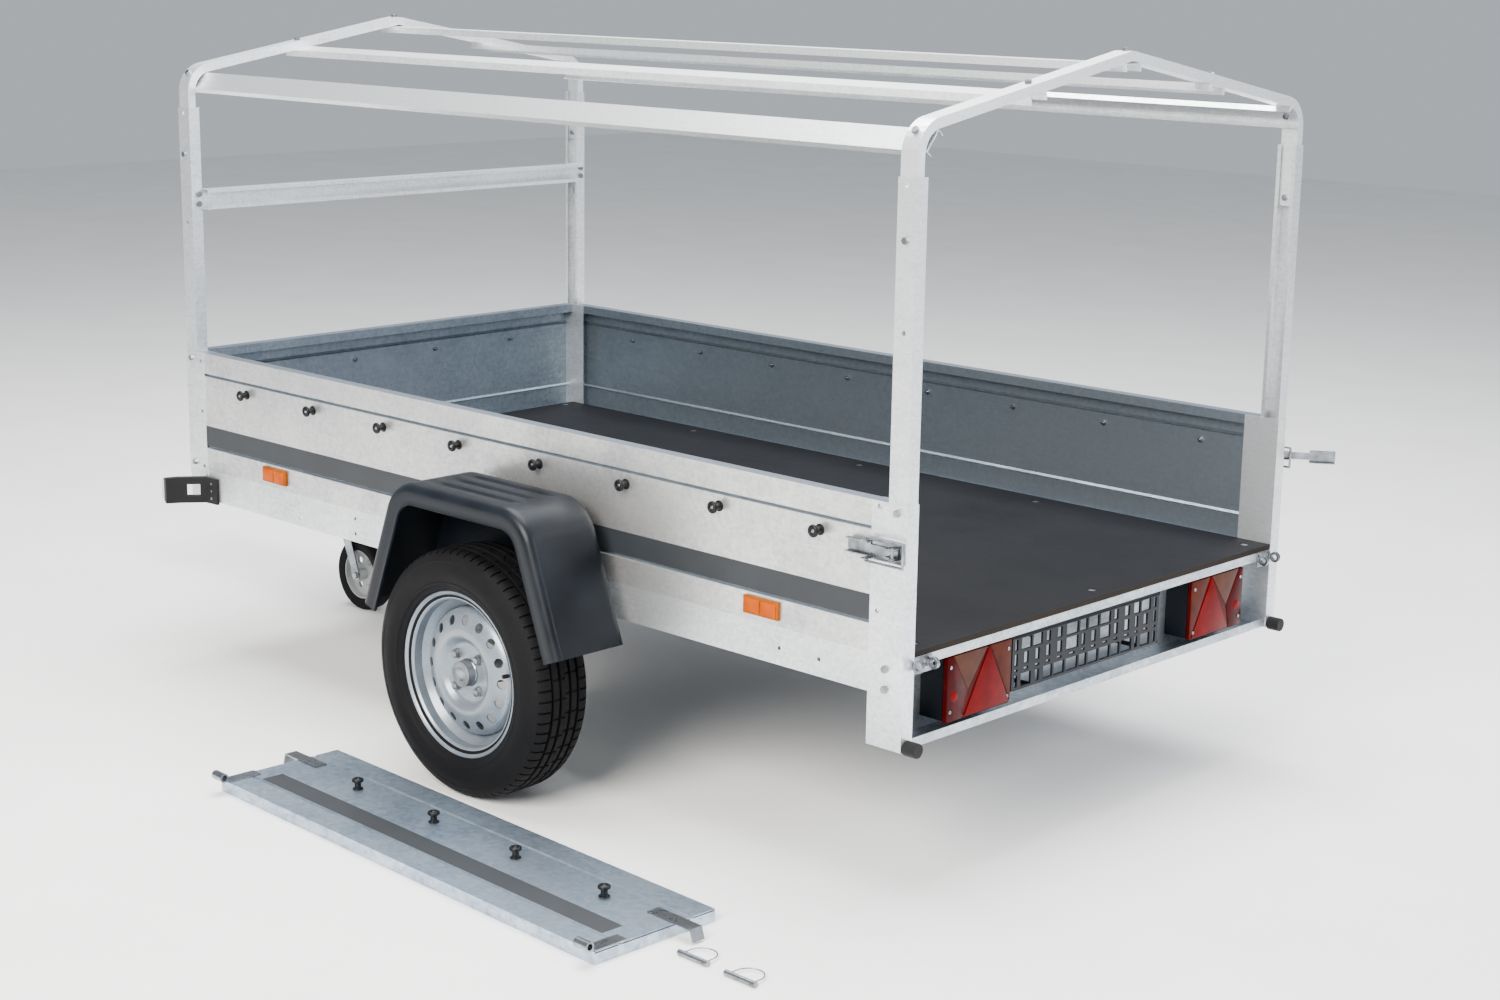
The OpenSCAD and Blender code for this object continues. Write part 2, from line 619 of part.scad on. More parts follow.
// Steel wheel: the rim and its disc, with the vents and bolt holes
module steel_wheel() color("gainsboro") translate([0, 0, axle_z]) difference() {
    rotate([-90, 0, 0]) union() {
        rotate_extrude($fn = 96) polygon(sheet(rim_path, -rim_t));
        rotate_extrude($fn = 96) polygon(sheet(disc_path, disc_t));
    }
    for (i = [0:vents - 1]) rotate([0, 360 / vents * i, 0])
        rod_y(vent_x, 0, vent_d / 2, hub_y - 20, hub_y + 40);
    translate([0, 0, -axle_z]) wheel_bolt_places()
        translate([0, 0, -20]) cylinder(r = 6.2, h = 60);
}
vent_x = 117;
tyre_r = tyre_d / 2;
tyre_half = tyre_w / 2;
rim_seat = bead_r + seat_gap;
tyre_half_path = [[tyre_r, 0], [tyre_r - 1, tyre_half - 32], [tyre_r - 6, tyre_half - 17],
                  [tyre_r - 17, tyre_half - 9], [tyre_r - 50, tyre_half],
                  [rim_d / 2 + 12, tyre_half - 6], [rim_d / 2 + 0.6, rim_w / 2 - 4.6],
                  [rim_seat, rim_w / 2 - 10.5], [rim_seat, rim_w / 2 - 30],
                  [rim_seat + 10, rim_w / 2 - 26], [rim_d / 2 + 14, tyre_half - 14],
                  [tyre_r - 50, tyre_half - 7], [tyre_r - 22, tyre_half - 18],
                  [tyre_r - 13, tyre_half - 34], [tyre_r - 12, 0]];
tyre_inside = 9;
tyre_outer = [for (i = [0:tyre_inside - 1]) tyre_half_path[i]];
tyre_inner = [for (i = [tyre_inside:len(tyre_half_path) - 1]) tyre_half_path[i]];
function other_half(path) = [for (p = reversed(path)) [p[0], -p[1]]];
module tyre() color("#202022") translate([0, wheel_y, axle_z]) rotate([-90, 0, 0])
    rotate_extrude($fn = 96) polygon(concat(tyre_outer, tyre_inner,
                                            other_half(tyre_inner), other_half(tyre_outer)));
module wheel_hub_left() in_frame() wheel_hub();
module wheel_hub_right() in_frame() mirror([0, 1, 0]) wheel_hub();
module wheel_left() in_frame() steel_wheel();
module wheel_right() in_frame() mirror([0, 1, 0]) steel_wheel();
module tyre_left() in_frame() tyre();
module tyre_right() in_frame() mirror([0, 1, 0]) tyre();

// ---------- fenders ----------
fender_in = half_w + fender_gap;
fender_out = fender_in + fender_w;
fender_wall_z = fender_low + 65;
foot_f = [fender_foot, fender_low];
top_f = [fender_top, fender_z];
fender_arc = rounded(foot_f, top_f, [-fender_top, fender_z], fender_r);
fender_path = concat([foot_f], fender_arc, mirrored(fender_arc), [[-fender_foot, fender_low]]);
module fenders() in_frame() color(plastic) both_sides() {
    along_y(fender_in, fender_out) polygon(sheet(fender_path, fender_t));
    along_y(fender_out - fender_t, fender_out) polygon(sheet(fender_path, fender_lip));
    along_y(fender_in, fender_in + fender_t) intersection() {
        polygon(fender_path);
        translate([-fender_foot, fender_wall_z]) square([2 * fender_foot, fender_z]);
    }
}
module fender_brackets() in_frame() color(in_steel) both_sides() for (x = [-200, 200]) {
    block([x - 18, half_w, member_z + 32], [x + 18, half_w + 3, frame_top - 2]);
    block([x - 18, half_w, member_z + 44], [x + 18, fender_in, member_z + 48]);
    block([x - 18, fender_in - 3, member_z + 32], [x + 18, fender_in, frame_top - 2]);
}

// ---------- coupling ----------
head_r = ball_r + 7;
collar_t = 4;
collar_back = bar_front - 95;
handle_pivot = [ball_x - 62, bar_z + bar_w / 2 + collar_t + 14];
jaw_pivot = [ball_x - 42, ball_z + 12];
jaw_w = 22;
pivot_r = 5;
module coupling_head() in_frame() color("darkgray") difference() {
    union() {
        along_x(collar_back, bar_front + 4) translate([0, bar_z]) difference() {
            square(bar_w + 2 * collar_t, center = true);
            square(bar_w, center = true);
        }
        block([bar_front, -bar_w / 2, bar_z - bar_w / 2], [bar_front + 4, bar_w / 2, bar_z + bar_w / 2]);
        along_z(ball_z - 22, ball_z + head_r) {
            translate([ball_x, 0]) circle(r = head_r);
            translate([bar_front + 3, -head_r]) square([ball_x - bar_front - 3, 2 * head_r]);
        }
        both_sides() along_y(jaw_w / 2 + 1, jaw_w / 2 + 7)
            polygon([[handle_pivot[0] - 14, handle_pivot[1] - 15],
                     [handle_pivot[0] + 24, handle_pivot[1] - 15],
                     [handle_pivot[0] + 8, handle_pivot[1] + 10],
                     [handle_pivot[0] - 8, handle_pivot[1] + 10]]);
    }
    translate([ball_x, 0, ball_z]) sphere(r = ball_r);
    rod_z(ball_x, 0, ball_r, ball_z - 23, ball_z + 3);
    block([ball_x - 49, -jaw_w / 2 - 1, ball_z - 30], [ball_x - 15, jaw_w / 2 + 1, ball_z + 22]);
    rod_y(handle_pivot[0], handle_pivot[1], pivot_r, -30, 30);
}
// Jaw that holds the ball from behind, turning on a pin of its own
module coupling_jaw() in_frame() color("dimgray") {
    along_y(-jaw_w / 2, jaw_w / 2) difference() {
        polygon([[ball_x - 46, ball_z + 18], [ball_x - 34, ball_z + 18],
                 [ball_x - 31, ball_z - 20], [ball_x - 40, ball_z - 20]]);
        translate([ball_x, ball_z]) circle(r = ball_r + 2);
    }
    rod_y(jaw_pivot[0], jaw_pivot[1], 3, -jaw_w / 2 - 0.9, jaw_w / 2 + 0.9);
}
// Lever with its grip, on a pin between the coupling's two ears
module coupling_handle() in_frame() color("#303030") {
    rod_y(handle_pivot[0], handle_pivot[1], pivot_r - run, -jaw_w / 2 - 8, jaw_w / 2 + 8);
    along_y(-jaw_w / 2, jaw_w / 2) {
        translate(handle_pivot) circle(r = 9);
        polygon([handle_pivot + [-2, -6], handle_pivot + [-2, 8],
                 handle_pivot + [-110, 26], handle_pivot + [-126, 18], handle_pivot + [-112, 10]]);
    }
}

// ---------- jockey wheel ----------
jockey_x = front_x + jockey_front;
jaxle_x = jockey_x - trail;
jaxle_z = jockey_d / 2;
tube_bore = tube_r - tube_wall;
fork_z = jockey_d + 8;
fork_t = 4;
fork_half = jockey_w / 2 + 5;
outer_low = fork_z + 60;
outer_high = outer_low + 310;
spindle_r = 8;
swivel_r = 10;
clamp_z = bar_z;
module jockey_clamp() in_frame() color("darkgray") difference() {
    union() {
        rod_z(jockey_x, jockey_y, tube_r + 8, clamp_z - 25, clamp_z + 25);
        block([jockey_x - 20, bar_w / 2, clamp_z - 25], [jockey_x + 20, jockey_y - 10, clamp_z + 25]);
        block([jockey_x - 40, bar_w / 2, clamp_z - 32], [jockey_x + 40, bar_w / 2 + 6, clamp_z + 32]);
    }
    rod_z(jockey_x, jockey_y, tube_r, clamp_z - 60, clamp_z + 60);
    rod_x(jockey_y, clamp_z, screw_r, jockey_x, jockey_x + 60);
}
screw_r = 5;
screw_x = jockey_x + tube_r + 0.5;
module clamp_screw() in_frame() color("silver") {
    rod_x(jockey_y, clamp_z, screw_r - run, screw_x, screw_x + 62);
    rod_z(screw_x + 56, jockey_y, 4, clamp_z - 32, clamp_z + 32);
}
module jockey_outer_tube() in_frame() color("silver") difference() {
    rod_z(jockey_x, jockey_y, tube_r, outer_low, outer_high);
    rod_z(jockey_x, jockey_y, tube_bore, outer_low - 1, outer_high - 6);
    rod_z(jockey_x, jockey_y, spindle_r + run, outer_high - 10, outer_high + 1);
}
crank_r = 42;
module jockey_crank() in_frame() color("silver") {
    rod_z(jockey_x, jockey_y, spindle_r, outer_high - 60, outer_high + 14);
    rod_z(jockey_x, jockey_y, spindle_r + 5, outer_high + 0.3, outer_high + 14);
    block([jockey_x, jockey_y - 8, outer_high + 4], [jockey_x + crank_r, jockey_y + 8, outer_high + 12]);
    rod_z(jockey_x + crank_r, jockey_y, 8, outer_high + 4, outer_high + 16);
    rod_z(jockey_x + crank_r, jockey_y, 10, outer_high + 16, outer_high + 100);
}
inner_r = tube_bore - run;
module jockey_inner_tube() in_frame() color("silver") difference() {
    rod_z(jockey_x, jockey_y, inner_r, fork_z + 0.3, outer_high - 80);
    rod_z(jockey_x, jockey_y, inner_r - 3, fork_z + 34, outer_high - 70);
    rod_z(jockey_x, jockey_y, swivel_r + run, fork_z - 1, fork_z + 35);
}
// Swivelling fork with the bolt that carries the wheel
module jockey_fork() in_frame() color("silver") {
    rod_z(jockey_x, jockey_y, swivel_r, fork_z - 1, fork_z + 32);
    rod_z(jockey_x, jockey_y, fork_half + fork_t, fork_z - fork_t, fork_z);
    for (s = [-1, 1]) translate([0, jockey_y + s * (fork_half + fork_t / 2), 0])
        along_y(-fork_t / 2, fork_t / 2) {
            translate([jaxle_x, jaxle_z]) circle(r = 14);
            polygon([[jaxle_x - 13, jaxle_z + 4], [jaxle_x + 13, jaxle_z - 4],
                     [jockey_x + 16, fork_z - 1], [jockey_x - 20, fork_z - 1]]);
        }
    rod_y(jaxle_x, jaxle_z, 6, jockey_y - fork_half - fork_t - 6, jockey_y + fork_half + fork_t + 6);
    for (s = [-1, 1]) translate([jaxle_x, jockey_y + s * (fork_half + fork_t + 3), jaxle_z])
        rotate([90, 0, 0]) cylinder(r = 9.5, h = 6, center = true, $fn = 6);
}
jrim_r = jockey_d / 2 - 32;
module jockey_rim() in_frame() color("lightgray") difference() {
    union() {
        rod_y(jaxle_x, jaxle_z, jrim_r, jockey_y - 3, jockey_y + 3);
        rod_y(jaxle_x, jaxle_z, 15, jockey_y - fork_half + 1, jockey_y + fork_half - 1);
        difference() {
            rod_y(jaxle_x, jaxle_z, jrim_r, jockey_y - jockey_w / 2 + 5, jockey_y + jockey_w / 2 - 5);
            rod_y(jaxle_x, jaxle_z, jrim_r - 4, jockey_y - jockey_w, jockey_y + jockey_w);
        }
    }
    rod_y(jaxle_x, jaxle_z, 6 + run, jockey_y - 60, jockey_y + 60);
    for (i = [0:5]) translate([jaxle_x, 0, jaxle_z]) rotate([0, 60 * i, 0])
        rod_y(40, 0, 9, jockey_y - 10, jockey_y + 10);
}
module jockey_tyre() in_frame() color("#202022") translate([jaxle_x, jockey_y, jaxle_z])
    rotate([-90, 0, 0]) rotate_extrude($fn = 64) polygon(concat(
        [[jrim_r + 0.1, -jockey_w / 2 + 3], [jrim_r + 16, -jockey_w / 2]],
        rounded([jrim_r + 16, -jockey_w / 2], [jockey_d / 2, -jockey_w / 2],
                [jockey_d / 2, 0], 13, 5),
        rounded([jockey_d / 2, 0], [jockey_d / 2, jockey_w / 2],
                [jrim_r + 16, jockey_w / 2], 13, 5),
        [[jrim_r + 16, jockey_w / 2], [jrim_r + 0.1, jockey_w / 2 - 3]]));

// ---------- lamps and plate ----------
lamp_z = sill_z + lamp_up;
sill_web = rear_x + sill_d - sill_t;
lens_x = rear_x + 1;
module lamp_housings() in_frame() color("#181818") both_sides() difference() {
    block([lens_x + lens_t, lamp_y, lamp_z - lamp_h / 2 + 3],
          [sill_web, lamp_y + lamp_w, lamp_z + lamp_h / 2 - 3]);
    block([lens_x + lens_t - 1, lamp_y + 3, lamp_z - lamp_h / 2 + 6],
          [sill_web - 4, lamp_y + lamp_w - 3, lamp_z + lamp_h / 2 - 6]);
}
module lamp_lenses() in_frame() color("#b01818") both_sides() difference() {
    block([lens_x, lamp_y, lamp_z - lamp_h / 2],
          [lens_x + lens_t, lamp_y + lamp_w, lamp_z + lamp_h / 2]);
    block([lens_x + 3, lamp_y + 3, lamp_z - lamp_h / 2 + 6],
          [lens_x + lens_t + 1, lamp_y + lamp_w - 3, lamp_z + lamp_h / 2 - 6]);
}
plate_y = lamp_y - 1 - plate_w;
plate_t = 5;
plate_x = rear_x + 4;
plate_z = lamp_z + lamp_h / 2 - plate_h;
plate_cols = 8;
plate_cell = plate_w / plate_cols;
// Lattice frame for the number plate, on four stand-offs
module plate_holder() in_frame() color("#161616") {
    difference() {
        block([plate_x, plate_y, plate_z], [plate_x + plate_t, plate_y + plate_w, plate_z + plate_h]);
        for (i = [0:plate_cols - 1], j = [0, 1])
            block([plate_x - 1, plate_y + plate_cell * i + 8, plate_z + 10 + j * 52],
                  [plate_x + plate_t + 1, plate_y + plate_cell * (i + 1) - 8, plate_z + 50 + j * 52]);
    }
    for (y = [plate_y + plate_cell, plate_y + plate_w - plate_cell], z = [5, plate_h - 5])
        rod_x(y, plate_z + z, 5, plate_x + 1, sill_web);
}
// Outrigger lamps at the front corners: a rubber arm and a clear lens
module position_lamps() in_frame() both_sides() {
    color("#181818") difference() {
        along_z(member_z - 6, member_z + 60) polygon([
            [front_x - 122, half_w], [front_x - 62, half_w], [front_x - 18, half_w + 56],
            [front_x - 8, half_w + 88], [front_x - 22, half_w + 92],
            [front_x - 38, half_w + 62], [front_x - 76, half_w + 12], [front_x - 122, half_w + 8]]);
        translate([front_x - 52, half_w + 30, member_z + 27]) rotate([0, 0, 50])
            cube([34, 60, 30], center = true);
    }
    color("white") along_z(member_z - 2, member_z + 56) polygon([
        [front_x - 18, half_w + 56], [front_x - 8, half_w + 88],
        [front_x + 6, half_w + 82], [front_x - 2, half_w + 54]]);
}
module side_reflectors() in_frame() color("orange") both_sides() for (x = [front_x - 370, rear_x + 367])
    block([x - 48, half_w, frame_top + 13], [x + 48, half_w + 9, frame_top + 50]);

// ---------- tarpaulin knobs, hinge lugs and buffers ----------
// Knob with its stud through the panel and its nut behind
module knob() {
    cylinder(r = 7, h = 17);
    translate([0, 0, 16]) cylinder(r = knob_r, h = 8);
    translate([0, 0, -13]) cylinder(r = knob_stud_r, h = 14);
    translate([0, 0, -panel_t - 5]) cylinder(r = 6, h = 5, $fn = 6);
}
module tarp_knobs() in_frame() color("#151515") {
    both_sides() for (i = [0:side_knobs - 1]) facing_left(side_knob_x(i), half_w, knob_z) knob();
    for (i = [0:front_knobs - 1]) translate([front_x, front_knob_y(i), knob_z])
        rotate([0, 90, 0]) knob();
}
hinge_x = rear_x - 14;
hinge_z = frame_top - 16;
hinge_y = gate_l / 2 - 14.5;
lug_t = 8;
lug_gap = 1;
module hinge_lugs() in_frame() color("silver") both_sides() {
    block([rear_x - 2, hinge_y - 32, frame_top - 34], [rear_x, post_in - 0.2, frame_top - 1]);
    for (s = [-1, 1]) {
        y = hinge_y + s * (hinge_l / 2 + lug_gap + lug_t / 2);
        difference() {
            union() {
                rod_y(hinge_x, hinge_z, 12, y - lug_t / 2, y + lug_t / 2);
                block([hinge_x, y - lug_t / 2, hinge_z - 6], [rear_x - 2, y + lug_t / 2, hinge_z + 6]);
            }
            rod_y(hinge_x, hinge_z, hinge_bore, y - 10, y + 10);
        }
    }
}
buffer_y = half_w - fold_d / 2;
buffer_z = frame_top - rear_post_drop + 8;
module buffer_bore() rod_x(buffer_y, buffer_z + 6, hole_r, rear_x - 10, rear_x + 10);
module buffers() in_frame() color("#151515") both_sides() {
    rod_x(buffer_y, buffer_z, 15, rear_x - 32, rear_x - panel_t);
    rod_x(buffer_y, buffer_z + 6, bolt_r, rear_x - 10, rear_x + 6);
}

// ---------- latches ----------
latch_z = frame_top + latch_up;
lever_axis = [rear_x + 18, post_out + 18];
bail_axis = [rear_x + 85, post_out + 17];
latch_t = 3;
ear_t = 2;
ear_z = 11;
bail_half = 22.5;
// Plate on the post with ears for the lever's pin and for the bail's ends
module latch_base() difference() {
    union() {
        block([rear_x + 3, post_out, latch_z - 21], [rear_x + rear_post_w, post_out + latch_t, latch_z + 21]);
        for (s = [-1, 1]) {
            z = latch_z + s * ear_z;
            block([lever_axis[0] - 7, post_out, z - ear_t / 2],
                  [lever_axis[0] + 7, lever_axis[1] + 5, z + ear_t / 2]);
            translate([0, 0, latch_z + s * 18]) block(
                [bail_axis[0] - 8, post_out, -ear_t / 2], [bail_axis[0] + 8, bail_axis[1] + 6, ear_t / 2]);
        }
    }
    rod_z(lever_axis[0], lever_axis[1], 3 + run, latch_z - 15, latch_z + 15);
    rod_z(bail_axis[0], bail_axis[1], bail_d / 2 + run, latch_z - 30, latch_z + 30);
}
module latch_bases() in_frame() color("silver") both_sides() latch_base();
// Pressed lever, drawn shut, with its pin
module latch_lever() color("silver") {
    web = lever_axis[1] - 12;
    tip = lever_axis[0] + lever_l;
    neck = lever_axis[0] + 64;
    block([lever_axis[0] - 4, web - 2, latch_z - 8], [neck + 1, web, latch_z + 8]);
    block([neck, web - 2, latch_z - lever_h / 2], [tip, web, latch_z + lever_h / 2]);
    for (s = [-1, 1]) {
        z = latch_z + s * 8;
        block([lever_axis[0] - 4, web - 2, z - 1], [lever_axis[0] + 22, lever_axis[1] - 1, z + 1]);
        rod_z(lever_axis[0], lever_axis[1], 6, z - 1, z + 1);
        edge = latch_z + s * (lever_h / 2 - 1);
        block([neck, web - 2, edge - 1], [tip, lever_axis[1] - 2.5, edge + 1]);
    }
    rod_z(lever_axis[0], lever_axis[1], 3, latch_z - 14, latch_z + 14);
}
// The right lever is drawn thrown open, pointing to the rear
lever_open = 147;
module latch_lever_left() in_frame() latch_lever();
module latch_lever_right() in_frame() mirror([0, 1, 0]) translate([lever_axis[0], lever_axis[1], 0])
    rotate([0, 0, lever_open]) translate([-lever_axis[0], -lever_axis[1], 0]) latch_lever();
// Wire bail whose two ends turn in the base's ears
module latch_bail() color("silver") {
    a = bail_axis[0];
    b = bail_axis[0] - bail_l;
    for (s = [-1, 1]) {
        z = latch_z + s * bail_half;
        rod_x(bail_axis[1], z, bail_d / 2, b, a);
        translate([a, bail_axis[1], z]) sphere(r = bail_d / 2);
        translate([b, bail_axis[1], z]) sphere(r = bail_d / 2);
        rod_z(a, bail_axis[1], bail_d / 2, min(z, latch_z + s * 15.6), max(z, latch_z + s * 15.6));
    }
    rod_z(b, bail_axis[1], bail_d / 2, latch_z - bail_half, latch_z + bail_half);
}
module latch_bail_left() in_frame() latch_bail();
module latch_bail_right() in_frame() mirror([0, 1, 0]) latch_bail();

// ---------- tailgate and lock pins, laid on the ground ----------
gate_at = [-857, half_w + 613, 0];
gate_turn = -1.9;
gate_groove = [61, 238];
gate_knobs = 4;
gate_knob_y = -184;
module on_ground() in_frame() translate(gate_at) rotate([0, 0, gate_turn]) children();
function gate_knob_x(i) = gate_l / 2 + (i - (gate_knobs - 1) / 2) * 269 - 29;
function gate_dip(y) = [[-y + groove_d, gate_t], [-y, gate_t - groove_d], [-y - groove_d, gate_t]];
gate_path = concat([[-12, 0], [0, 0], [0, gate_t]], gate_dip(gate_groove[0]),
                   gate_dip(gate_groove[1]), [[-gate_h, gate_t], [-gate_h, 0], [12 - gate_h, 0]]);
module tailgate_panel() on_ground() color("lightsteelblue") difference() {
    union() {
        along_x(0, gate_l) polygon(sheet(gate_path, panel_t));
        for (x = [0, gate_l - panel_t]) block([x, -gate_h, 0], [x + panel_t, 0, gate_t - groove_d]);
    }
    for (i = [0:gate_knobs - 1])
        rod_z(gate_knob_x(i), gate_knob_y, knob_stud_r + 0.2, gate_t - 10, gate_t + 10);
}
tube_at = [13, gate_t + 14];
leaf_t = 3;
strap_y = -222;
// Hinge tubes, hook straps and knobs of the tailgate, as separate solids
module tailgate_fittings() on_ground() {
    color("silver") for (x = [14.5, gate_l - 14.5]) difference() {
        union() {
            along_x(x - 15, x + 15)
                polygon(sheet([[-80, gate_t], [-5, gate_t], [8, gate_t + 5]], leaf_t));
            rod_x(tube_at[0], tube_at[1], hinge_r, x - hinge_l / 2, x + hinge_l / 2);
        }
        rod_x(tube_at[0], tube_at[1], hinge_bore, x - 30, x + 30);
    }
    color("silver") for (side = [0, 1]) translate([side * gate_l, 0, 0]) mirror([side, 0, 0])
        along_y(strap_y, strap_y + 30) polygon(sheet(
            [[72, gate_t], [-45, gate_t], [-52, gate_t - 22]], -leaf_t));
    color("#151515") for (i = [0:gate_knobs - 1])
        translate([gate_knob_x(i), gate_knob_y, gate_t]) knob();
}
// Lock pin lying on its side, with a cross hole for its spring ring
ring_r = (pin_l - 16) / 2;
ring_leg = 22;
module lock_pin() color("silver") difference() {
    union() {
        rod_x(0, pin_r, pin_r, -pin_l / 2, pin_l / 2);
        rod_x(0, pin_r, pin_r, pin_l / 2 - 10, pin_l / 2 + 2);
    }
    rod_y(ring_r, pin_r, wire_d / 2 + run, -20, 20);
}
module ring() color("lightgray") {
    translate([0, -ring_leg, pin_r]) intersection() {
        rotate_extrude($fn = 64) translate([ring_r, 0]) circle(r = wire_d / 2, $fn = 24);
        translate([-50, -100, -10]) cube([100, 100, 20]);
    }
    rod_y(ring_r, pin_r, wire_d / 2, -ring_leg, pin_r + 2);
    rod_y(-ring_r, pin_r, wire_d / 2, -ring_leg, -pin_r - seat_gap);
}
pin_places = [[-966, half_w + 470, 0], [-1088, half_w + 473, 0]];
module lock_pin_front() in_frame() translate(pin_places[0]) mirror([1, 0, 0]) lock_pin();
module lock_pin_rear() in_frame() translate(pin_places[1]) mirror([1, 0, 0]) lock_pin();
module pin_ring_front() in_frame() translate(pin_places[0]) mirror([1, 0, 0]) ring();
module pin_ring_rear() in_frame() translate(pin_places[1]) mirror([1, 0, 0]) ring();

side_panels();
front_panel();
floor_board();
side_members();
cross_members();
rear_sill();
rear_posts();
front_posts();
uprights();
front_cross_rail();
bows();
roof_rails();
frame_bolts();
rivets();
floor_bolts();
drawbar();
drawbar_saddles();
axle_tube();
axle_brackets();
torsion_rubbers();
coupling_head();
coupling_handle();
coupling_jaw();
jockey_clamp();
clamp_screw();
jockey_outer_tube();
jockey_crank();
jockey_inner_tube();
jockey_fork();
jockey_rim();
jockey_tyre();
fenders();
fender_brackets();
lamp_housings();
lamp_lenses();
plate_holder();
position_lamps();
side_reflectors();
tarp_knobs();
hinge_lugs();
buffers();
latch_bases();
latch_lever_left();
latch_lever_right();
latch_bail_left();
latch_bail_right();
trailing_arm_left();
trailing_arm_right();
wheel_hub_left();
wheel_hub_right();
wheel_left();
wheel_right();
tyre_left();
tyre_right();
tailgate_panel();
tailgate_fittings();
lock_pin_front();
lock_pin_rear();
pin_ring_front();
pin_ring_rear();
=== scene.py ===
"""Looks of a light utility trailer with a raised tarpaulin frame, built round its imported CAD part."""

from __future__ import annotations

import logging
import math
from collections.abc import Iterable, Sequence
from dataclasses import dataclass, field
from enum import Enum

import bmesh
import bpy
from mathutils import Matrix, Vector


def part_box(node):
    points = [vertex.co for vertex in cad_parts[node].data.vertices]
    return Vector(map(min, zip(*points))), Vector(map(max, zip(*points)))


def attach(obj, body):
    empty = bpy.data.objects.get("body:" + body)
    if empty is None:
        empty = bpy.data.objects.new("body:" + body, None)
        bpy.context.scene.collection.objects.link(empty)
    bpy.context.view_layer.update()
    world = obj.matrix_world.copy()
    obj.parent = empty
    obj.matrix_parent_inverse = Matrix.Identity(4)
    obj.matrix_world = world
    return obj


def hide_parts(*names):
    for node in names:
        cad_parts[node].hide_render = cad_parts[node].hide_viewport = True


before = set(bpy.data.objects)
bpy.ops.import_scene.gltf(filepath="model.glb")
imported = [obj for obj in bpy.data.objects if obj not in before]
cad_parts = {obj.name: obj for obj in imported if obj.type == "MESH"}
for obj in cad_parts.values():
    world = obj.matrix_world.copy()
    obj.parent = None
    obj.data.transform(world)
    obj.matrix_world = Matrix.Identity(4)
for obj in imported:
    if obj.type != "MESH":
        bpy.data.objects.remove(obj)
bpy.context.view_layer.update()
LOG = logging.getLogger("trailer")
MM = 0.001


# ---------------------------------------------------------------- small tools
def linear(code: str) -> tuple[float, float, float, float]:
    """Turns an sRGB hex colour into linear light.

    Args:
        code: Six hex digits after a hash sign.

    Returns:
        Red, green, blue and an alpha of one.
    """
    parts = [int(code[i : i + 2], 16) / 255 for i in (1, 3, 5)]
    light = [p / 12.92 if p <= 0.04045 else ((p + 0.055) / 1.055) ** 2.4 for p in parts]
    return light[0], light[1], light[2], 1.0


def per_metre(size_mm: float) -> float:
    """Gives the scale of a pattern whose repeat has a real size.

    Args:
        size_mm: Size of one repeat in millimetres.

    Returns:
        Repeats in a metre.
    """
    return 1000.0 / size_mm


def add(tree: bpy.types.NodeTree, kind: str, settings: dict | None = None,
        links: dict | None = None) -> bpy.types.Node:
    """Adds a node to a material with its settings and its incoming links.

    Args:
        tree: The material's node tree.
        kind: Blender's name of the node type, without its ShaderNode prefix.
        settings: Input names or places, or node properties, with their values.
        links: Input names or places with the output sockets that feed them.

    Returns:
        The new node.
    """
    node = tree.nodes.new("ShaderNode" + kind)
    for key, value in (settings or {}).items():
        if isinstance(key, str) and hasattr(node, key):
            setattr(node, key, value)
        else:
            node.inputs[key].default_value = value
    for key, source in (links or {}).items():
        tree.links.new(source, node.inputs[key])
    return node


def shades(tree: bpy.types.NodeTree, factor: bpy.types.NodeSocket,
           stops: Sequence[tuple[float, str]]) -> bpy.types.NodeSocket:
    """Maps a value to a run of colours.

    Args:
        tree: The material's node tree.
        factor: The value to map.
        stops: Places from 0 to 1 with their hex colours.

    Returns:
        The colour socket.
    """
    node = add(tree, "ValToRGB", links={"Fac": factor})
    ramp = node.color_ramp
    while len(ramp.elements) < len(stops):
        ramp.elements.new(0.5)
    for element, (place, code) in zip(ramp.elements, stops):
        element.position = place
        element.color = linear(code)
    return node.outputs["Color"]


def ranged(tree: bpy.types.NodeTree, value: bpy.types.NodeSocket, low: float,
           high: float, to_low: float = 0.0, to_high: float = 1.0) -> bpy.types.NodeSocket:
    """Maps one range of values to another, clamped at both ends.

    Args:
        tree: The material's node tree.
        value: The value to map.
        low: Lower end of the range that is read.
        high: Upper end of the range that is read.
        to_low: What the lower end becomes.
        to_high: What the upper end becomes.

    Returns:
        The mapped value's socket.
    """
    return add(tree, "MapRange", {"From Min": low, "From Max": high, "To Min": to_low,
                                  "To Max": to_high}, {"Value": value}).outputs["Result"]


def maths(tree: bpy.types.NodeTree, operation: str, a: bpy.types.NodeSocket,
          b: bpy.types.NodeSocket | float) -> bpy.types.NodeSocket:
    """Joins two values with one operation.

    Args:
        tree: The material's node tree.
        operation: Blender's name of the operation.
        a: The first value.
        b: The second value, or a number.

    Returns:
        The result's socket.
    """
    if isinstance(b, (int, float)):
        return add(tree, "Math", {"operation": operation, 1: b}, {0: a}).outputs[0]
    return add(tree, "Math", {"operation": operation}, {0: a, 1: b}).outputs[0]


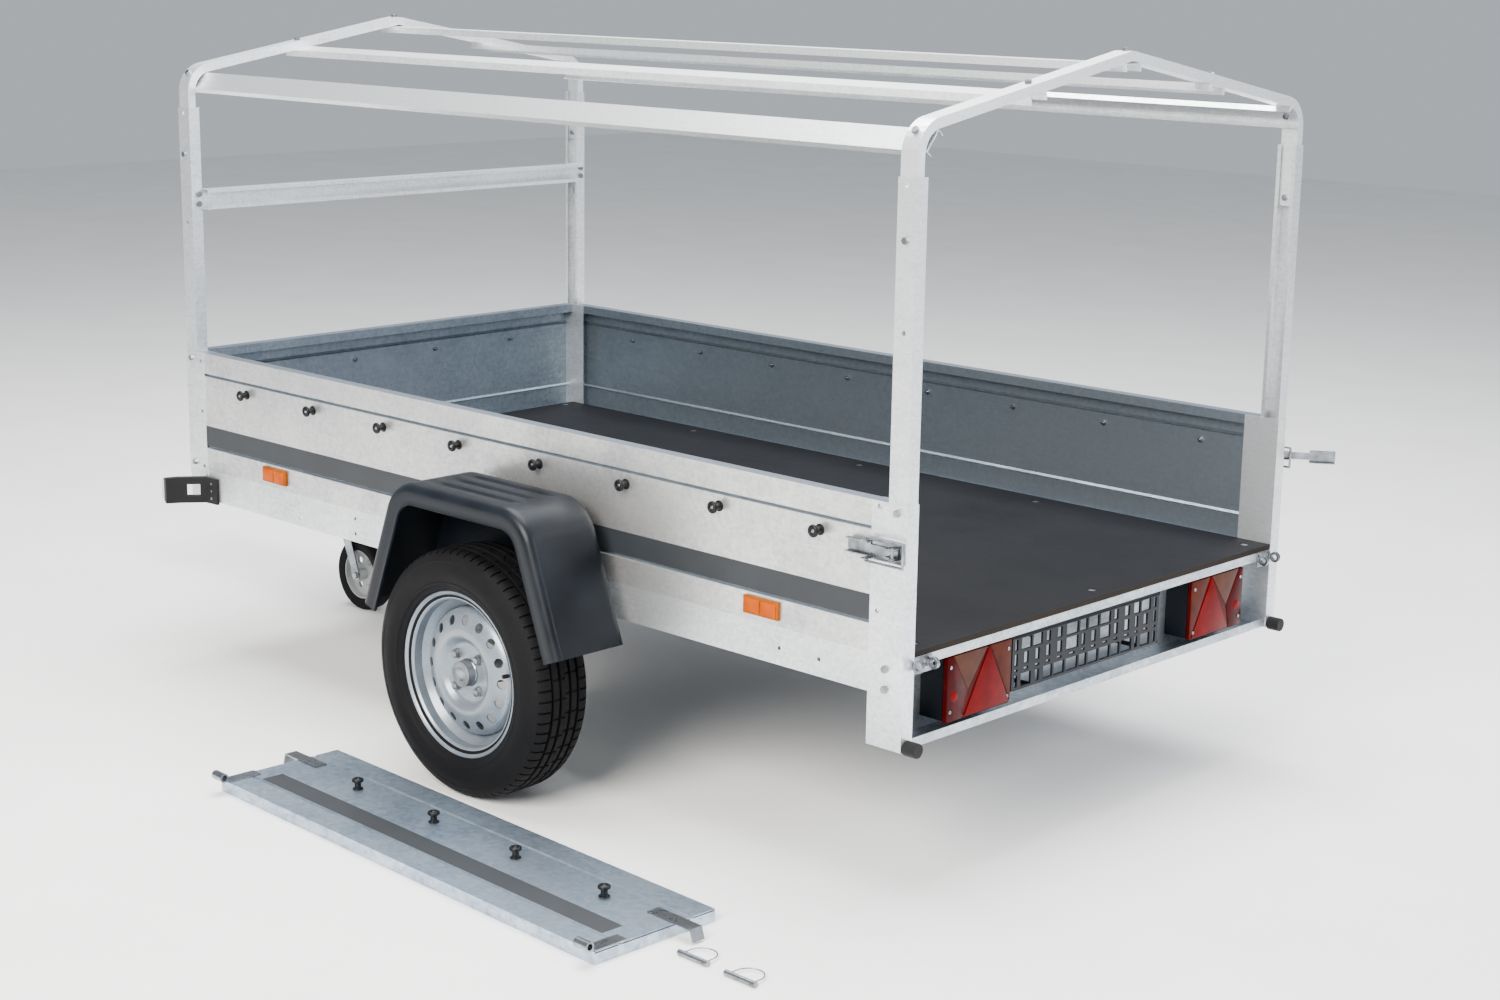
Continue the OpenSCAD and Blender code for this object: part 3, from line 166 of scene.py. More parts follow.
# ------------------------------------------------------------------ finishes
@dataclass(frozen=True)
class Finish:
    """A finish whose shader starts with the same parts."""

    name: str

    def begin(self) -> tuple[bpy.types.Material, bpy.types.NodeTree, bpy.types.Node,
                             bpy.types.NodeSocket]:
        """Starts a material.

        Returns:
            The material, its tree, its shader and the object's coordinates.
        """
        material = bpy.data.materials.new(self.name)
        material.use_nodes = True
        tree = material.node_tree
        shader = tree.nodes["Principled BSDF"]
        place = add(tree, "TexCoord").outputs["Object"]
        return material, tree, shader, place

    def bump(self, tree: bpy.types.NodeTree, shader: bpy.types.Node,
             height: bpy.types.NodeSocket, depth_mm: float, strength: float = 1.0,
             below: bpy.types.Node | None = None) -> bpy.types.Node:
        """Gives the surface a relief.

        Args:
            tree: The material's node tree.
            shader: The shader whose normal is turned.
            height: The relief's height from 0 to 1.
            depth_mm: The relief's real depth in millimetres.
            strength: How strongly the relief shows.
            below: A coarser relief that this one lies on.

        Returns:
            The relief's node.
        """
        links = {"Height": height}
        if below is not None:
            links["Normal"] = below.outputs["Normal"]
        node = add(tree, "Bump", {"Distance": depth_mm * MM, "Strength": strength}, links)
        tree.links.new(node.outputs["Normal"], shader.inputs["Normal"])
        return node


@dataclass(frozen=True)
class Stripe:
    """A dark film strip stuck along a sheet, as ranges of the sheet's own axes in metres."""

    along: tuple[float, float]
    across: tuple[float, float]
    across_axis: str
    face_axis: str
    face_from: float
    colour: str = "#16191d"


@dataclass(frozen=True)
class Galvanised(Finish):
    """Steel dipped in molten zinc: a bright, cloudy metal with a crystal spangle in it."""

    pale: str = "#d3d7d9"
    dark: str = "#a9afb4"
    spangle_mm: float = 9.0
    roughness: float = 0.42
    stripe: Stripe | None = None
    origin: tuple[float, float, float] = (0.0, 0.0, 0.0)
    turn: float = 0.0
    # inner: a tint multiplied into the faces inside the bed, which paints shade there
    inner: str | None = None

    def make(self) -> bpy.types.Material:
        """Builds the material.

        Returns:
            The material.
        """
        material, tree, shader, place = self.begin()
        crystals = add(tree, "TexVoronoi", {"Scale": per_metre(self.spangle_mm),
                                            "Randomness": 1.0}, {"Vector": place})
        grain = add(tree, "SeparateColor", links={"Color": crystals.outputs["Color"]})
        # Slow clouds, from the way that the zinc ran off the steel
        clouds = add(tree, "TexNoise", {"Scale": per_metre(170), "Detail": 4.0,
                                        "Roughness": 0.6}, {"Vector": place})
        # Rolling marks, far finer along the sheet than across it
        stretched = add(tree, "Mapping", {"Scale": (0.35, 0.35, 6.0)}, {"Vector": place})
        streaks = add(tree, "TexNoise", {"Scale": per_metre(26), "Detail": 3.0},
                      {"Vector": stretched.outputs["Vector"]})
        tone = maths(tree, "ADD", maths(tree, "MULTIPLY", grain.outputs[0], 0.16),
                     maths(tree, "ADD", maths(tree, "MULTIPLY", clouds.outputs[0], 0.55),
                           maths(tree, "MULTIPLY", streaks.outputs[0], 0.25)))
        colour = shades(tree, tone, [(0.3, self.dark), (0.62, self.pale)])
        rough = ranged(tree, tone, 0.2, 0.8, self.roughness + 0.1, self.roughness - 0.06)
        metal: bpy.types.NodeSocket | None = None
        if self.stripe is not None:
            sheet = add(tree, "Mapping", {"vector_type": "TEXTURE", "Location": self.origin,
                                          "Rotation": (0.0, 0.0, self.turn)}, {"Vector": place})
            axes = add(tree, "SeparateXYZ", links={"Vector": sheet.outputs["Vector"]})
            if self.inner is not None:
                # The faces inside the bed are multiplied by a darker, bluer tint: painted shade for the
                # inside of the bed, on the same zinc as the outside
                inside = maths(tree, "LESS_THAN",
                               maths(tree, "ABSOLUTE", axes.outputs[self.stripe.face_axis], 0.0),
                               self.stripe.face_from)
                painted_inner_shade = add(tree, "Mix", {"data_type": "RGBA", "blend_type": "MULTIPLY"},
                           {"Factor": inside})
                tree.links.new(colour, painted_inner_shade.inputs[6])
                painted_inner_shade.inputs[7].default_value = linear(self.inner)
                colour = painted_inner_shade.outputs[2]
            mask = self.strip_mask(tree, axes)
            mixed = add(tree, "Mix", {"data_type": "RGBA"}, {"Factor": mask})
            tree.links.new(colour, mixed.inputs[6])
            film = shades(tree, clouds.outputs[0], [(0.3, self.stripe.colour), (0.7, "#1f2328")])
            tree.links.new(film, mixed.inputs[7])
            colour = mixed.outputs[2]
            metal = ranged(tree, mask, 0.0, 1.0, 0.92, 0.0)
            rough = maths(tree, "MAXIMUM", rough, maths(tree, "MULTIPLY", mask, 0.5))
        tree.links.new(colour, shader.inputs["Base Color"])
        tree.links.new(rough, shader.inputs["Roughness"])
        if metal is None:
            shader.inputs["Metallic"].default_value = 0.92
        else:
            tree.links.new(metal, shader.inputs["Metallic"])
        fine = add(tree, "TexNoise", {"Scale": per_metre(2.2), "Detail": 2.0}, {"Vector": place})
        relief = self.bump(tree, shader, grain.outputs[1], 0.05, 0.25)
        self.bump(tree, shader, fine.outputs[0], 0.03, 0.2, relief)
        return material

    def strip_mask(self, tree: bpy.types.NodeTree, axes: bpy.types.Node) -> bpy.types.NodeSocket:
        """Marks where the film strip lies.

        Args:
            tree: The material's node tree.
            axes: The node that holds the sheet's own coordinates apart.

        Returns:
            One on the strip and zero off it.
        """
        strip = self.stripe
        tests = [("X", strip.along[0], "GREATER_THAN"), ("X", strip.along[1], "LESS_THAN"),
                 (strip.across_axis, strip.across[0], "GREATER_THAN"),
                 (strip.across_axis, strip.across[1], "LESS_THAN")]
        mask = maths(tree, "GREATER_THAN",
                     maths(tree, "ABSOLUTE", axes.outputs[strip.face_axis], 0.0),
                     strip.face_from)
        for axis, limit, test in tests:
            mask = maths(tree, "MULTIPLY", mask, maths(tree, test, axes.outputs[axis], limit))
        return mask


@dataclass(frozen=True)
class Plated(Finish):
    """Steel plated with zinc and passivated: smooth, bright and a little blue or yellow."""

    pale: str = "#979ba0"
    tint: str = "#65696d"
    roughness: float = 0.24

    def make(self) -> bpy.types.Material:
        """Builds the material.

        Returns:
            The material.
        """
        material, tree, shader, place = self.begin()
        bloom = add(tree, "TexNoise", {"Scale": per_metre(24), "Detail": 5.0}, {"Vector": place})
        colour = shades(tree, bloom.outputs[0], [(0.3, self.tint), (0.65, self.pale)])
        tree.links.new(colour, shader.inputs["Base Color"])
        rough = ranged(tree, bloom.outputs[0], 0.3, 0.7, self.roughness + 0.14, self.roughness)
        tree.links.new(rough, shader.inputs["Roughness"])
        shader.inputs["Metallic"].default_value = 1.0
        pits = add(tree, "TexNoise", {"Scale": per_metre(1.6), "Detail": 2.0}, {"Vector": place})
        self.bump(tree, shader, pits.outputs[0], 0.04, 0.25)
        return material


@dataclass(frozen=True)
class Cast(Finish):
    """Sand-cast iron with a zinc or dark coat: a rough, even skin with soft hollows."""

    pale: str = "#8d9093"
    dark: str = "#5d6063"
    metallic: float = 0.85

    def make(self) -> bpy.types.Material:
        """Builds the material.

        Returns:
            The material.
        """
        material, tree, shader, place = self.begin()
        sand = add(tree, "TexNoise", {"Scale": per_metre(1.8), "Detail": 3.0}, {"Vector": place})
        swell = add(tree, "TexNoise", {"Scale": per_metre(30), "Detail": 3.0}, {"Vector": place})
        tree.links.new(shades(tree, swell.outputs[0], [(0.3, self.dark), (0.7, self.pale)]),
                       shader.inputs["Base Color"])
        tree.links.new(ranged(tree, sand.outputs[0], 0.3, 0.7, 0.62, 0.45),
                       shader.inputs["Roughness"])
        shader.inputs["Metallic"].default_value = self.metallic
        coarse = self.bump(tree, shader, swell.outputs[0], 0.4, 0.25)
        self.bump(tree, shader, sand.outputs[0], 0.12, 0.5, coarse)
        return material


@dataclass(frozen=True)
class FilmFacedPlywood(Finish):
    """Birch plywood faced with dark phenolic film: a faint wire print on top, plies at the edge."""

    film: str = "#090a0d"
    scuff: str = "#131418"
    ply_mm: float = 1.4

    def make(self) -> bpy.types.Material:
        """Builds the material.

        Returns:
            The material.
        """
        material, tree, shader, place = self.begin()
        axes = add(tree, "SeparateXYZ", links={"Vector": place})
        wear = add(tree, "TexNoise", {"Scale": per_metre(240), "Detail": 6.0,
                                      "Roughness": 0.65}, {"Vector": place})
        scratch_place = add(tree, "Mapping", {"Scale": (0.2, 3.0, 1.0)}, {"Vector": place})
        scratches = add(tree, "TexNoise", {"Scale": per_metre(30), "Detail": 5.0},
                        {"Vector": scratch_place.outputs["Vector"]})
        tone = maths(tree, "ADD", maths(tree, "MULTIPLY", wear.outputs[0], 0.7),
                     maths(tree, "MULTIPLY", scratches.outputs[0], 0.3))
        film = shades(tree, tone, [(0.35, self.film), (0.72, self.scuff)])
        # The plies show at the sawn edge as light and dark lines
        layers = maths(tree, "PINGPONG", axes.outputs["Z"], self.ply_mm * MM)
        plies = shades(tree, ranged(tree, layers, 0.0, self.ply_mm * MM),
                       [(0.45, "#241c15"), (0.6, "#120d0a")])
        facing = add(tree, "SeparateXYZ",
                     links={"Vector": add(tree, "NewGeometry").outputs["Normal"]})
        flat = maths(tree, "GREATER_THAN",
                     maths(tree, "ABSOLUTE", facing.outputs["Z"], 0.0), 0.5)
        mixed = add(tree, "Mix", {"data_type": "RGBA"}, {"Factor": flat})
        tree.links.new(plies, mixed.inputs[6])
        tree.links.new(film, mixed.inputs[7])
        tree.links.new(mixed.outputs[2], shader.inputs["Base Color"])
        tree.links.new(ranged(tree, tone, 0.3, 0.7, 0.55, 0.7), shader.inputs["Roughness"])
        shader.inputs["Specular IOR Level"].default_value = 0.12
        # The film keeps the print of a wire mesh, drawn at its real 3 mm
        warp = add(tree, "TexWave", {"Scale": per_metre(3) / 6.283, "bands_direction": "X"},
                   {"Vector": place})
        weft = add(tree, "TexWave", {"Scale": per_metre(3) / 6.283, "bands_direction": "Y"},
                   {"Vector": place})
        mesh = maths(tree, "MAXIMUM", warp.outputs["Fac"], weft.outputs["Fac"])
        self.bump(tree, shader, mesh, 0.12, 0.35)
        return material


@dataclass(frozen=True)
class Moulded(Finish):
    """Injection-moulded plastic or pressed rubber with a spark-eroded grain."""

    colour: str = "#2c2d2f"
    worn: str = "#3c3d3f"
    roughness: float = 0.5
    grain_mm: float = 1.2
    depth_mm: float = 0.08
    sheen: float = 0.0

    def make(self) -> bpy.types.Material:
        """Builds the material.

        Returns:
            The material.
        """
        material, tree, shader, place = self.begin()
        haze = add(tree, "TexNoise", {"Scale": per_metre(90), "Detail": 5.0}, {"Vector": place})
        tree.links.new(shades(tree, haze.outputs[0], [(0.35, self.colour), (0.75, self.worn)]),
                       shader.inputs["Base Color"])
        tree.links.new(ranged(tree, haze.outputs[0], 0.3, 0.7, self.roughness - 0.05,
                              self.roughness + 0.1), shader.inputs["Roughness"])
        shader.inputs["IOR"].default_value = 1.5
        shader.inputs["Sheen Weight"].default_value = self.sheen
        shader.inputs["Specular IOR Level"].default_value = 0.18
        grain = add(tree, "TexVoronoi", {"Scale": per_metre(self.grain_mm)}, {"Vector": place})
        self.bump(tree, shader, grain.outputs["Distance"], self.depth_mm, 0.5)
        return material


@dataclass(frozen=True)
class Enamel(Finish):
    """Silver stoving enamel on pressed steel: fine flake under a clear, slightly wavy gloss."""

    colour: str = "#666f78"
    flake: str = "#8b949d"

    def make(self) -> bpy.types.Material:
        """Builds the material.

        Returns:
            The material.
        """
        material, tree, shader, place = self.begin()
        flakes = add(tree, "TexVoronoi", {"Scale": per_metre(0.9)}, {"Vector": place})
        split = add(tree, "SeparateColor", links={"Color": flakes.outputs["Color"]})
        dust = add(tree, "TexNoise", {"Scale": per_metre(60), "Detail": 5.0}, {"Vector": place})
        tone = maths(tree, "ADD", maths(tree, "MULTIPLY", split.outputs[0], 0.35),
                     maths(tree, "MULTIPLY", dust.outputs[0], 0.65))
        tree.links.new(shades(tree, tone, [(0.25, self.colour), (0.8, self.flake)]),
                       shader.inputs["Base Color"])
        tree.links.new(ranged(tree, dust.outputs[0], 0.3, 0.7, 0.34, 0.44),
                       shader.inputs["Roughness"])
        shader.inputs["Metallic"].default_value = 0.55
        shader.inputs["Coat Weight"].default_value = 0.35
        shader.inputs["Coat Roughness"].default_value = 0.12
        peel = add(tree, "TexNoise", {"Scale": per_metre(2.4), "Detail": 1.0}, {"Vector": place})
        self.bump(tree, shader, peel.outputs[0], 0.03, 0.3)
        return material


@dataclass(frozen=True)
class PrismLens(Finish):
    """Clear or dyed acrylic moulded with rows of small prisms; the light they catch in dots is painted
    into the colour.
    """

    colour: str = "#b3140f"
    deep: str = "#6d0a08"
    prism_mm: float = 4.0
    roughness: float = 0.1

    def make(self) -> bpy.types.Material:
        """Builds the material.

        Returns:
            The material.
        """
        material, tree, shader, place = self.begin()
        cells = add(tree, "TexVoronoi", {"Scale": per_metre(self.prism_mm), "Randomness": 0.0,
                                         "distance": "CHEBYCHEV"}, {"Vector": place})
        glow = add(tree, "TexNoise", {"Scale": per_metre(35), "Detail": 2.0}, {"Vector": place})
        # Each prism is painted lighter at its centre and deeper at its edge: painted glints of the
        # light the prisms catch
        tone = maths(tree, "ADD", maths(tree, "MULTIPLY", cells.outputs["Distance"], 0.7),
                     maths(tree, "MULTIPLY", glow.outputs[0], 0.5))
        tree.links.new(shades(tree, tone, [(0.25, self.colour), (0.75, self.deep)]),
                       shader.inputs["Base Color"])
        shader.inputs["Roughness"].default_value = self.roughness
        shader.inputs["IOR"].default_value = 1.49
        shader.inputs["Specular IOR Level"].default_value = 0.06
        self.bump(tree, shader, cells.outputs["Distance"], 0.6, 0.45)
        return material


@dataclass(frozen=True)
class TyreRubber(Finish):
    """Vulcanised tyre rubber: near black, matt and dusty, with a finely lined sidewall."""

    colour: str = "#08080a"
    dust: str = "#131315"

    def make(self) -> bpy.types.Material:
        """Builds the material.

        Returns:
            The material.
        """
        material, tree, shader, place = self.begin()
        dirt = add(tree, "TexNoise", {"Scale": per_metre(70), "Detail": 6.0,
                                      "Roughness": 0.7}, {"Vector": place})
        tree.links.new(shades(tree, dirt.outputs[0], [(0.35, self.colour), (0.8, self.dust)]),
                       shader.inputs["Base Color"])
        tree.links.new(ranged(tree, dirt.outputs[0], 0.3, 0.7, 0.55, 0.8),
                       shader.inputs["Roughness"])
        shader.inputs["IOR"].default_value = 1.52
        shader.inputs["Specular IOR Level"].default_value = 0.1
        grit = add(tree, "TexNoise", {"Scale": per_metre(1.5), "Detail": 2.0}, {"Vector": place})
        self.bump(tree, shader, grit.outputs[0], 0.1, 0.45)
        return material


@dataclass(frozen=True)
class Concrete(Finish):
    """The studio's pale, smooth ground."""

    def make(self) -> bpy.types.Material:
        """Builds the material.

        Returns:
            The material.
        """
        material, tree, shader, place = self.begin()
        mottle = add(tree, "TexNoise", {"Scale": per_metre(400), "Detail": 4.0}, {"Vector": place})
        tree.links.new(shades(tree, mottle.outputs[0], [(0.3, "#e6e6e5"), (0.7, "#ececeb")]),
                       shader.inputs["Base Color"])
        shader.inputs["Roughness"].default_value = 0.75
        return material


# ------------------------------------------------------------------ workshop
class Side(Enum):
    """The trailer's two sides, by the sign of Y."""

    LEFT = 1
    RIGHT = -1

    @property
    def word(self) -> str:
        """The side's name as CAD bodies use it."""
        return self.name.lower()


def node_box(node: str) -> tuple[Vector, Vector]:
    """Gives a CAD node's box in the row frame as two vectors in metres."""
    low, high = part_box(node)
    return Vector(low), Vector(high)


class Workshop:
    """Makes pieces in the trailer's own axes and sets them into the row frame.

    The trailer's axes have X forward from the axle line, Y to its left and Z up from the ground,
    in millimetres.
    """

    def __init__(self) -> None:
        """Finds the trailer's axes from the left tyre and the load floor."""
        tyre_low, tyre_high = node_box("tyre_left")
        self.zero = Vector(((tyre_low.x + tyre_high.x) / 2, 0.0, tyre_low.z))
        self.finishes: dict[str, bpy.types.Material] = {}
        self.into_frame = Matrix.Translation(self.zero) @ Matrix.Scale(MM, 4)

    def stock(self, *finishes: Finish) -> None:
        """Makes each finish's material once."""
        for finish in finishes:
            self.finishes[finish.name] = finish.make()

    def box_mm(self, node: str) -> tuple[Vector, Vector]:
        """Gives a CAD node's box in the trailer's axes, in millimetres."""
        low, high = node_box(node)
        return (low - self.zero) / MM, (high - self.zero) / MM

    def piece(self, name: str, bm: bmesh.types.BMesh, body: str, finish: str, slot: str,
              replaces: Iterable[str] = (), sharp: float = 35.0,
              in_frame: bool = False) -> bpy.types.Object:
        """Turns a finished mesh into an object that rides on a CAD body.

        Args:
            name: The piece's name.
            bm: Its mesh, which is freed.
            body: The CAD body it rides on.
            finish: Name of its finish.
            slot: The record's material slot; it is not used.
            replaces: CAD nodes it stands for.
            sharp: Edges that bend more than this many degrees stay crisp.
            in_frame: The mesh is already in the row frame.

        Returns:
            The new object.
        """
        if not in_frame:
            bmesh.ops.transform(bm, matrix=self.into_frame, verts=bm.verts)
        limit = math.radians(sharp)
        for edge in bm.edges:
            edge.smooth = len(edge.link_faces) == 2 and edge.calc_face_angle(0.0) < limit
        for face in bm.faces:
            face.smooth = True
        mesh = bpy.data.meshes.new(name)
        bm.to_mesh(mesh)
        bm.free()
        mesh.materials.append(self.finishes[finish])
        made = bpy.data.objects.new(name, mesh)
        bpy.context.scene.collection.objects.link(made)
        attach(made, body)
        nodes = tuple(replaces)
        if nodes:
            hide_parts(*nodes)
        LOG.info("%s rides on %s with %d faces", name, body, len(mesh.polygons))
        return made

    def merged(self, node: str) -> bmesh.types.BMesh:
        """Copies a CAD node's mesh as closed shells with flat faces whole.

        Args:
            node: The CAD node.

        Returns:
            The copy, in the row frame.
        """
        bm = bmesh.new()
        bm.from_mesh(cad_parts[node].data)
        bmesh.ops.remove_doubles(bm, verts=bm.verts, dist=2e-6)
        bmesh.ops.dissolve_limit(bm, angle_limit=math.radians(0.5), verts=bm.verts,
                                 edges=bm.edges)
        return bm

    def soften(self, node: str, body: str, finish: str, slot: str,
               width_mm: float) -> bpy.types.Object:
        """Shows a CAD node with its edges eased, as a real pressing or casting has them.

        Args:
            node: The CAD node.
            body: Its CAD body.
            finish: Name of its finish.
            slot: The record's material slot; it is not used.
            width_mm: How wide each eased edge is.

        Returns:
            The new object.
        """
        made = self.piece(node + "_eased", self.merged(node), body, finish, slot, [node],
                          in_frame=True)
        ease(made, width_mm)
        return made

    def dress(self, finish: str, *nodes: str) -> None:
        """Gives CAD nodes that stay as they are a finish.

        Args:
            finish: Name of the finish.
            *nodes: The CAD nodes.
        """
        for node in nodes:
            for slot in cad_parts[node].material_slots:
                slot.material = self.finishes[finish]
            LOG.info("%s keeps its CAD shape in %s", node, finish)


def ease(made: bpy.types.Object, width_mm: float, segments: int = 2,
         angle: float = 38.0) -> None:
    """Rounds an object's crisp edges.

    Args:
        made: The object.
        width_mm: How wide each rounding is.
        segments: How many faces turn each edge.
        angle: Edges that bend less than this many degrees are left.
    """
    bevel = made.modifiers.new("eased edges", "BEVEL")
    bevel.width = width_mm * MM
    bevel.segments = segments
    bevel.limit_method = "ANGLE"
    bevel.angle_limit = math.radians(angle)
    bevel.harden_normals = True


def block(bm: bmesh.types.BMesh, low: Sequence[float], high: Sequence[float],
          bevel: float = 0.0, segments: int = 2) -> list[bmesh.types.BMVert]:
    """Adds a box between two corners, with its edges rounded.

    Args:
        bm: The mesh it is added to.
        low: Its lowest corner.
        high: Its highest corner.
        bevel: Width of the rounding, or 0 for none.
        segments: Faces across the rounding.

    Returns:
        The box's vertices.
    """
    a, b = Vector(low), Vector(high)
    spot = Matrix.Translation((a + b) / 2) @ Matrix.Diagonal((*(b - a), 1.0))
    verts = bmesh.ops.create_cube(bm, size=1.0, matrix=spot)["verts"]
    if bevel > 0:
        edges = list({edge for vert in verts for edge in vert.link_edges})
        made = bmesh.ops.bevel(bm, geom=edges, offset=bevel, segments=segments, profile=0.5,
                               affect="EDGES", material=-1)
        return list({vert for face in made["faces"] for vert in face.verts} | {
            vert for vert in verts if vert.is_valid})
    return verts


def turned(bm: bmesh.types.BMesh, profile: Sequence[tuple[float, float]], centre: Vector,
           axis: Vector, steps: int = 48) -> list[bmesh.types.BMVert]:
    """Adds a shape turned about an axis.

    Args:
        bm: The mesh it is added to.
        profile: Distances from the axis with places along it.
        centre: Where the axis starts.
        axis: The axis's direction.
        steps: Faces round the axis.

    Returns:
        The shape's vertices.
    """
    before = set(bm.verts)
    way = axis.normalized()
    out = way.orthogonal().normalized()
    ring = [bm.verts.new(centre + out * r + way * h) for r, h in profile]
    edges = [bm.edges.new(pair) for pair in zip(ring, ring[1:])]
    bmesh.ops.spin(bm, geom=ring + edges, cent=centre, axis=way, angle=2 * math.pi,
                   steps=steps, use_merge=True)
    fresh = [vert for vert in bm.verts if vert not in before]
    bmesh.ops.remove_doubles(bm, verts=fresh, dist=0.002)
    fresh = [vert for vert in bm.verts if vert not in before]
    bmesh.ops.recalc_face_normals(bm, faces=list({f for v in fresh for f in v.link_faces}))
    return fresh


def islands(node: str) -> list[tuple[Vector, Vector]]:
    """Finds the separate solids of a CAD node.

    Args:
        node: The CAD node.

    Returns:
        The lowest and highest corner of each solid, in the row frame.
    """
    bm = bmesh.new()
    bm.from_mesh(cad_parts[node].data)
    bmesh.ops.remove_doubles(bm, verts=bm.verts, dist=2e-6)
    left = set(bm.verts)
    found = []
    while left:
        group = [left.pop()]
        for vert in group:
            for edge in vert.link_edges:
                other = edge.other_vert(vert)
                if other in left:
                    left.remove(other)
                    group.append(other)
        low = Vector([min(vert.co[i] for vert in group) for i in range(3)])
        high = Vector([max(vert.co[i] for vert in group) for i in range(3)])
        found.append((low, high))
    bm.free()
    return sorted(found, key=lambda pair: tuple(pair[0]))


# --------------------------------------------------------------- road wheels
@dataclass
class RoadWheel:
    """A pressed steel wheel with its tyre, bolts and dust cap, on one side of the axle."""

    workshop: Workshop
    side: Side
    groove_depth: float = 7.0
    rim_flange: float = 182.5
    vent_ring: float = 117.0
    vent_radius: float = 10.5
    vents: int = 16
    hub_face: float = 30.0
    centre: Vector = field(init=False)
    radius: float = field(init=False)

    def __post_init__(self) -> None:
        """Finds the wheel's centre and the tyre's radius from the CAD tyre."""
        low, high = self.workshop.box_mm(f"tyre_{self.side.word}")
        self.centre = (low + high) / 2
        self.radius = (high.z - low.z) / 2
        self.half = (high.y - low.y) / 2

    @property
    def out(self) -> Vector:
        """The direction from the trailer's middle outwards."""
        return Vector((0.0, float(self.side.value), 0.0))

    def tyre_profile(self) -> list[tuple[float, float]]:
        """Gives the tyre's section from its outer bead over the tread to its inner bead.

        Returns:
            Radius and place along the axle of each point, in millimetres.
        """
        r, w = self.radius, self.half
        crown = [(0.0, 0.0), (9.5, 0.2), (10.5, None), (16.5, None), (17.5, 0.4), (24, 0.5),
                 (31.0, 0.8), (32.0, None), (38.0, None), (39.0, 1.1), (46.0, 1.6)]
        half = []
        for across, drop in crown:
            half.append((r - (self.groove_depth + 1 if drop is None else drop), across))
        half += [(r - 2.6, 53), (r - 5.5, 60.5), (r - 10, 66), (r - 16.5, 70), (r - 24, 72.6),
                 (r - 26, 73.4), (r - 27.5, 72.9), (r - 38, w - 2.2), (r - 50, w),
                 (r - 60, w - 0.8), (r - 69, w - 3.0), (r - 71, w - 2.2), (r - 76, w - 3.6),
                 (r - 79, w - 7.0), (186.0, 68.6), (182.5, 64.4), (176, 61.5), (168, 58.5),
                 (165.4, 53.5), (165.4, 34.0)]
        return [(a, b) for a, b in reversed(half)] + [(a, -b) for a, b in half[1:]]

    def tyre(self) -> bpy.types.Object:
        """Builds the tyre with its circumferential grooves and its shoulder slits.

        Returns:
            The tyre's object.
        """
        bm = bmesh.new()
        steps = 360
        turned(bm, self.tyre_profile(), self.centre, self.out, steps)
        slits, nicks = [], []
        for face in bm.faces:
            middle = face.calc_center_median() - self.centre
            reach = math.hypot(middle.x, middle.z)
            across = abs(middle.y)
            step = int((math.degrees(math.atan2(middle.z, middle.x)) % 360) // (360 / steps))
            shift = 0 if middle.y > 0 else 2
            if 39.5 < across < 68 and reach > self.radius - 16 and (step + shift) % 5 == 0:
                slits.append(face)
            elif across < 31 and reach > self.radius - 2 and (step + shift) % 9 == 0:
                nicks.append(face)
        for faces, depth in ((slits, 4.5), (nicks, 3.0)):
            fresh = bmesh.ops.extrude_face_region(bm, geom=faces)["geom"]
            bmesh.ops.delete(bm, geom=faces, context="FACES")
            for vert in (item for item in fresh if isinstance(item, bmesh.types.BMVert)):
                away = vert.co - self.centre
                away.y = 0.0
                vert.co -= away.normalized() * depth
        bmesh.ops.recalc_face_normals(bm, faces=bm.faces)
        return self.workshop.piece(f"tyre_{self.side.word}_tread", bm, f"wheel_{self.side.word}",
                                   "vulcanised_tyre_rubber", "tyre_rubber",
                                   [f"tyre_{self.side.word}"], sharp=30)

    def rim_profile(self) -> list[tuple[float, float]]:
        """Gives the rim's middle line from its outer flange to its inner one.

        Returns:
            Radius and place along the axle of each point, in millimetres.
        """
        w, bead = 64.0, 165.0
        return [(self.rim_flange - 1.5, w - 3.5), (self.rim_flange, w - 1.0),
                (self.rim_flange - 2.0, w), (self.rim_flange - 5, w - 2), (173, w - 6.5),
                (bead + 1.5, w - 8), (bead - 1.5, w - 11), (bead - 3, w - 30), (bead - 6, w - 34),
                (147, w - 45), (143.5, w - 50), (143.5, -w + 60), (147, -w + 54), (bead - 5, -w + 42),
                (bead - 2, -w + 38), (bead - 1.5, -w + 12), (bead + 1.5, -w + 8),
                (173, -w + 6), (self.rim_flange - 2, -w + 1), (self.rim_flange, -w + 3)]

    def disc_profile(self) -> list[tuple[float, float]]:
        """Gives the disc's outer skin from its centre bore to the well of the rim.

        Returns:
            Radius and place along the axle of each point, in millimetres.
        """
        h = self.hub_face
        return [(29.6, h - 4), (29.6, h + 2), (31, h + 4), (60, h + 4), (66, h + 4.6), (71, h + 8),
                (76, h + 14.5), (82, h + 18), (90, h + 19), (98, h + 17.8), (106, h + 15.4),
                (117, h + 11.5), (126, h + 7.4), (133, h + 2.5), (137.5, h - 4), (139.5, h - 11),
                (140, h - 20), (140, h - 29)]

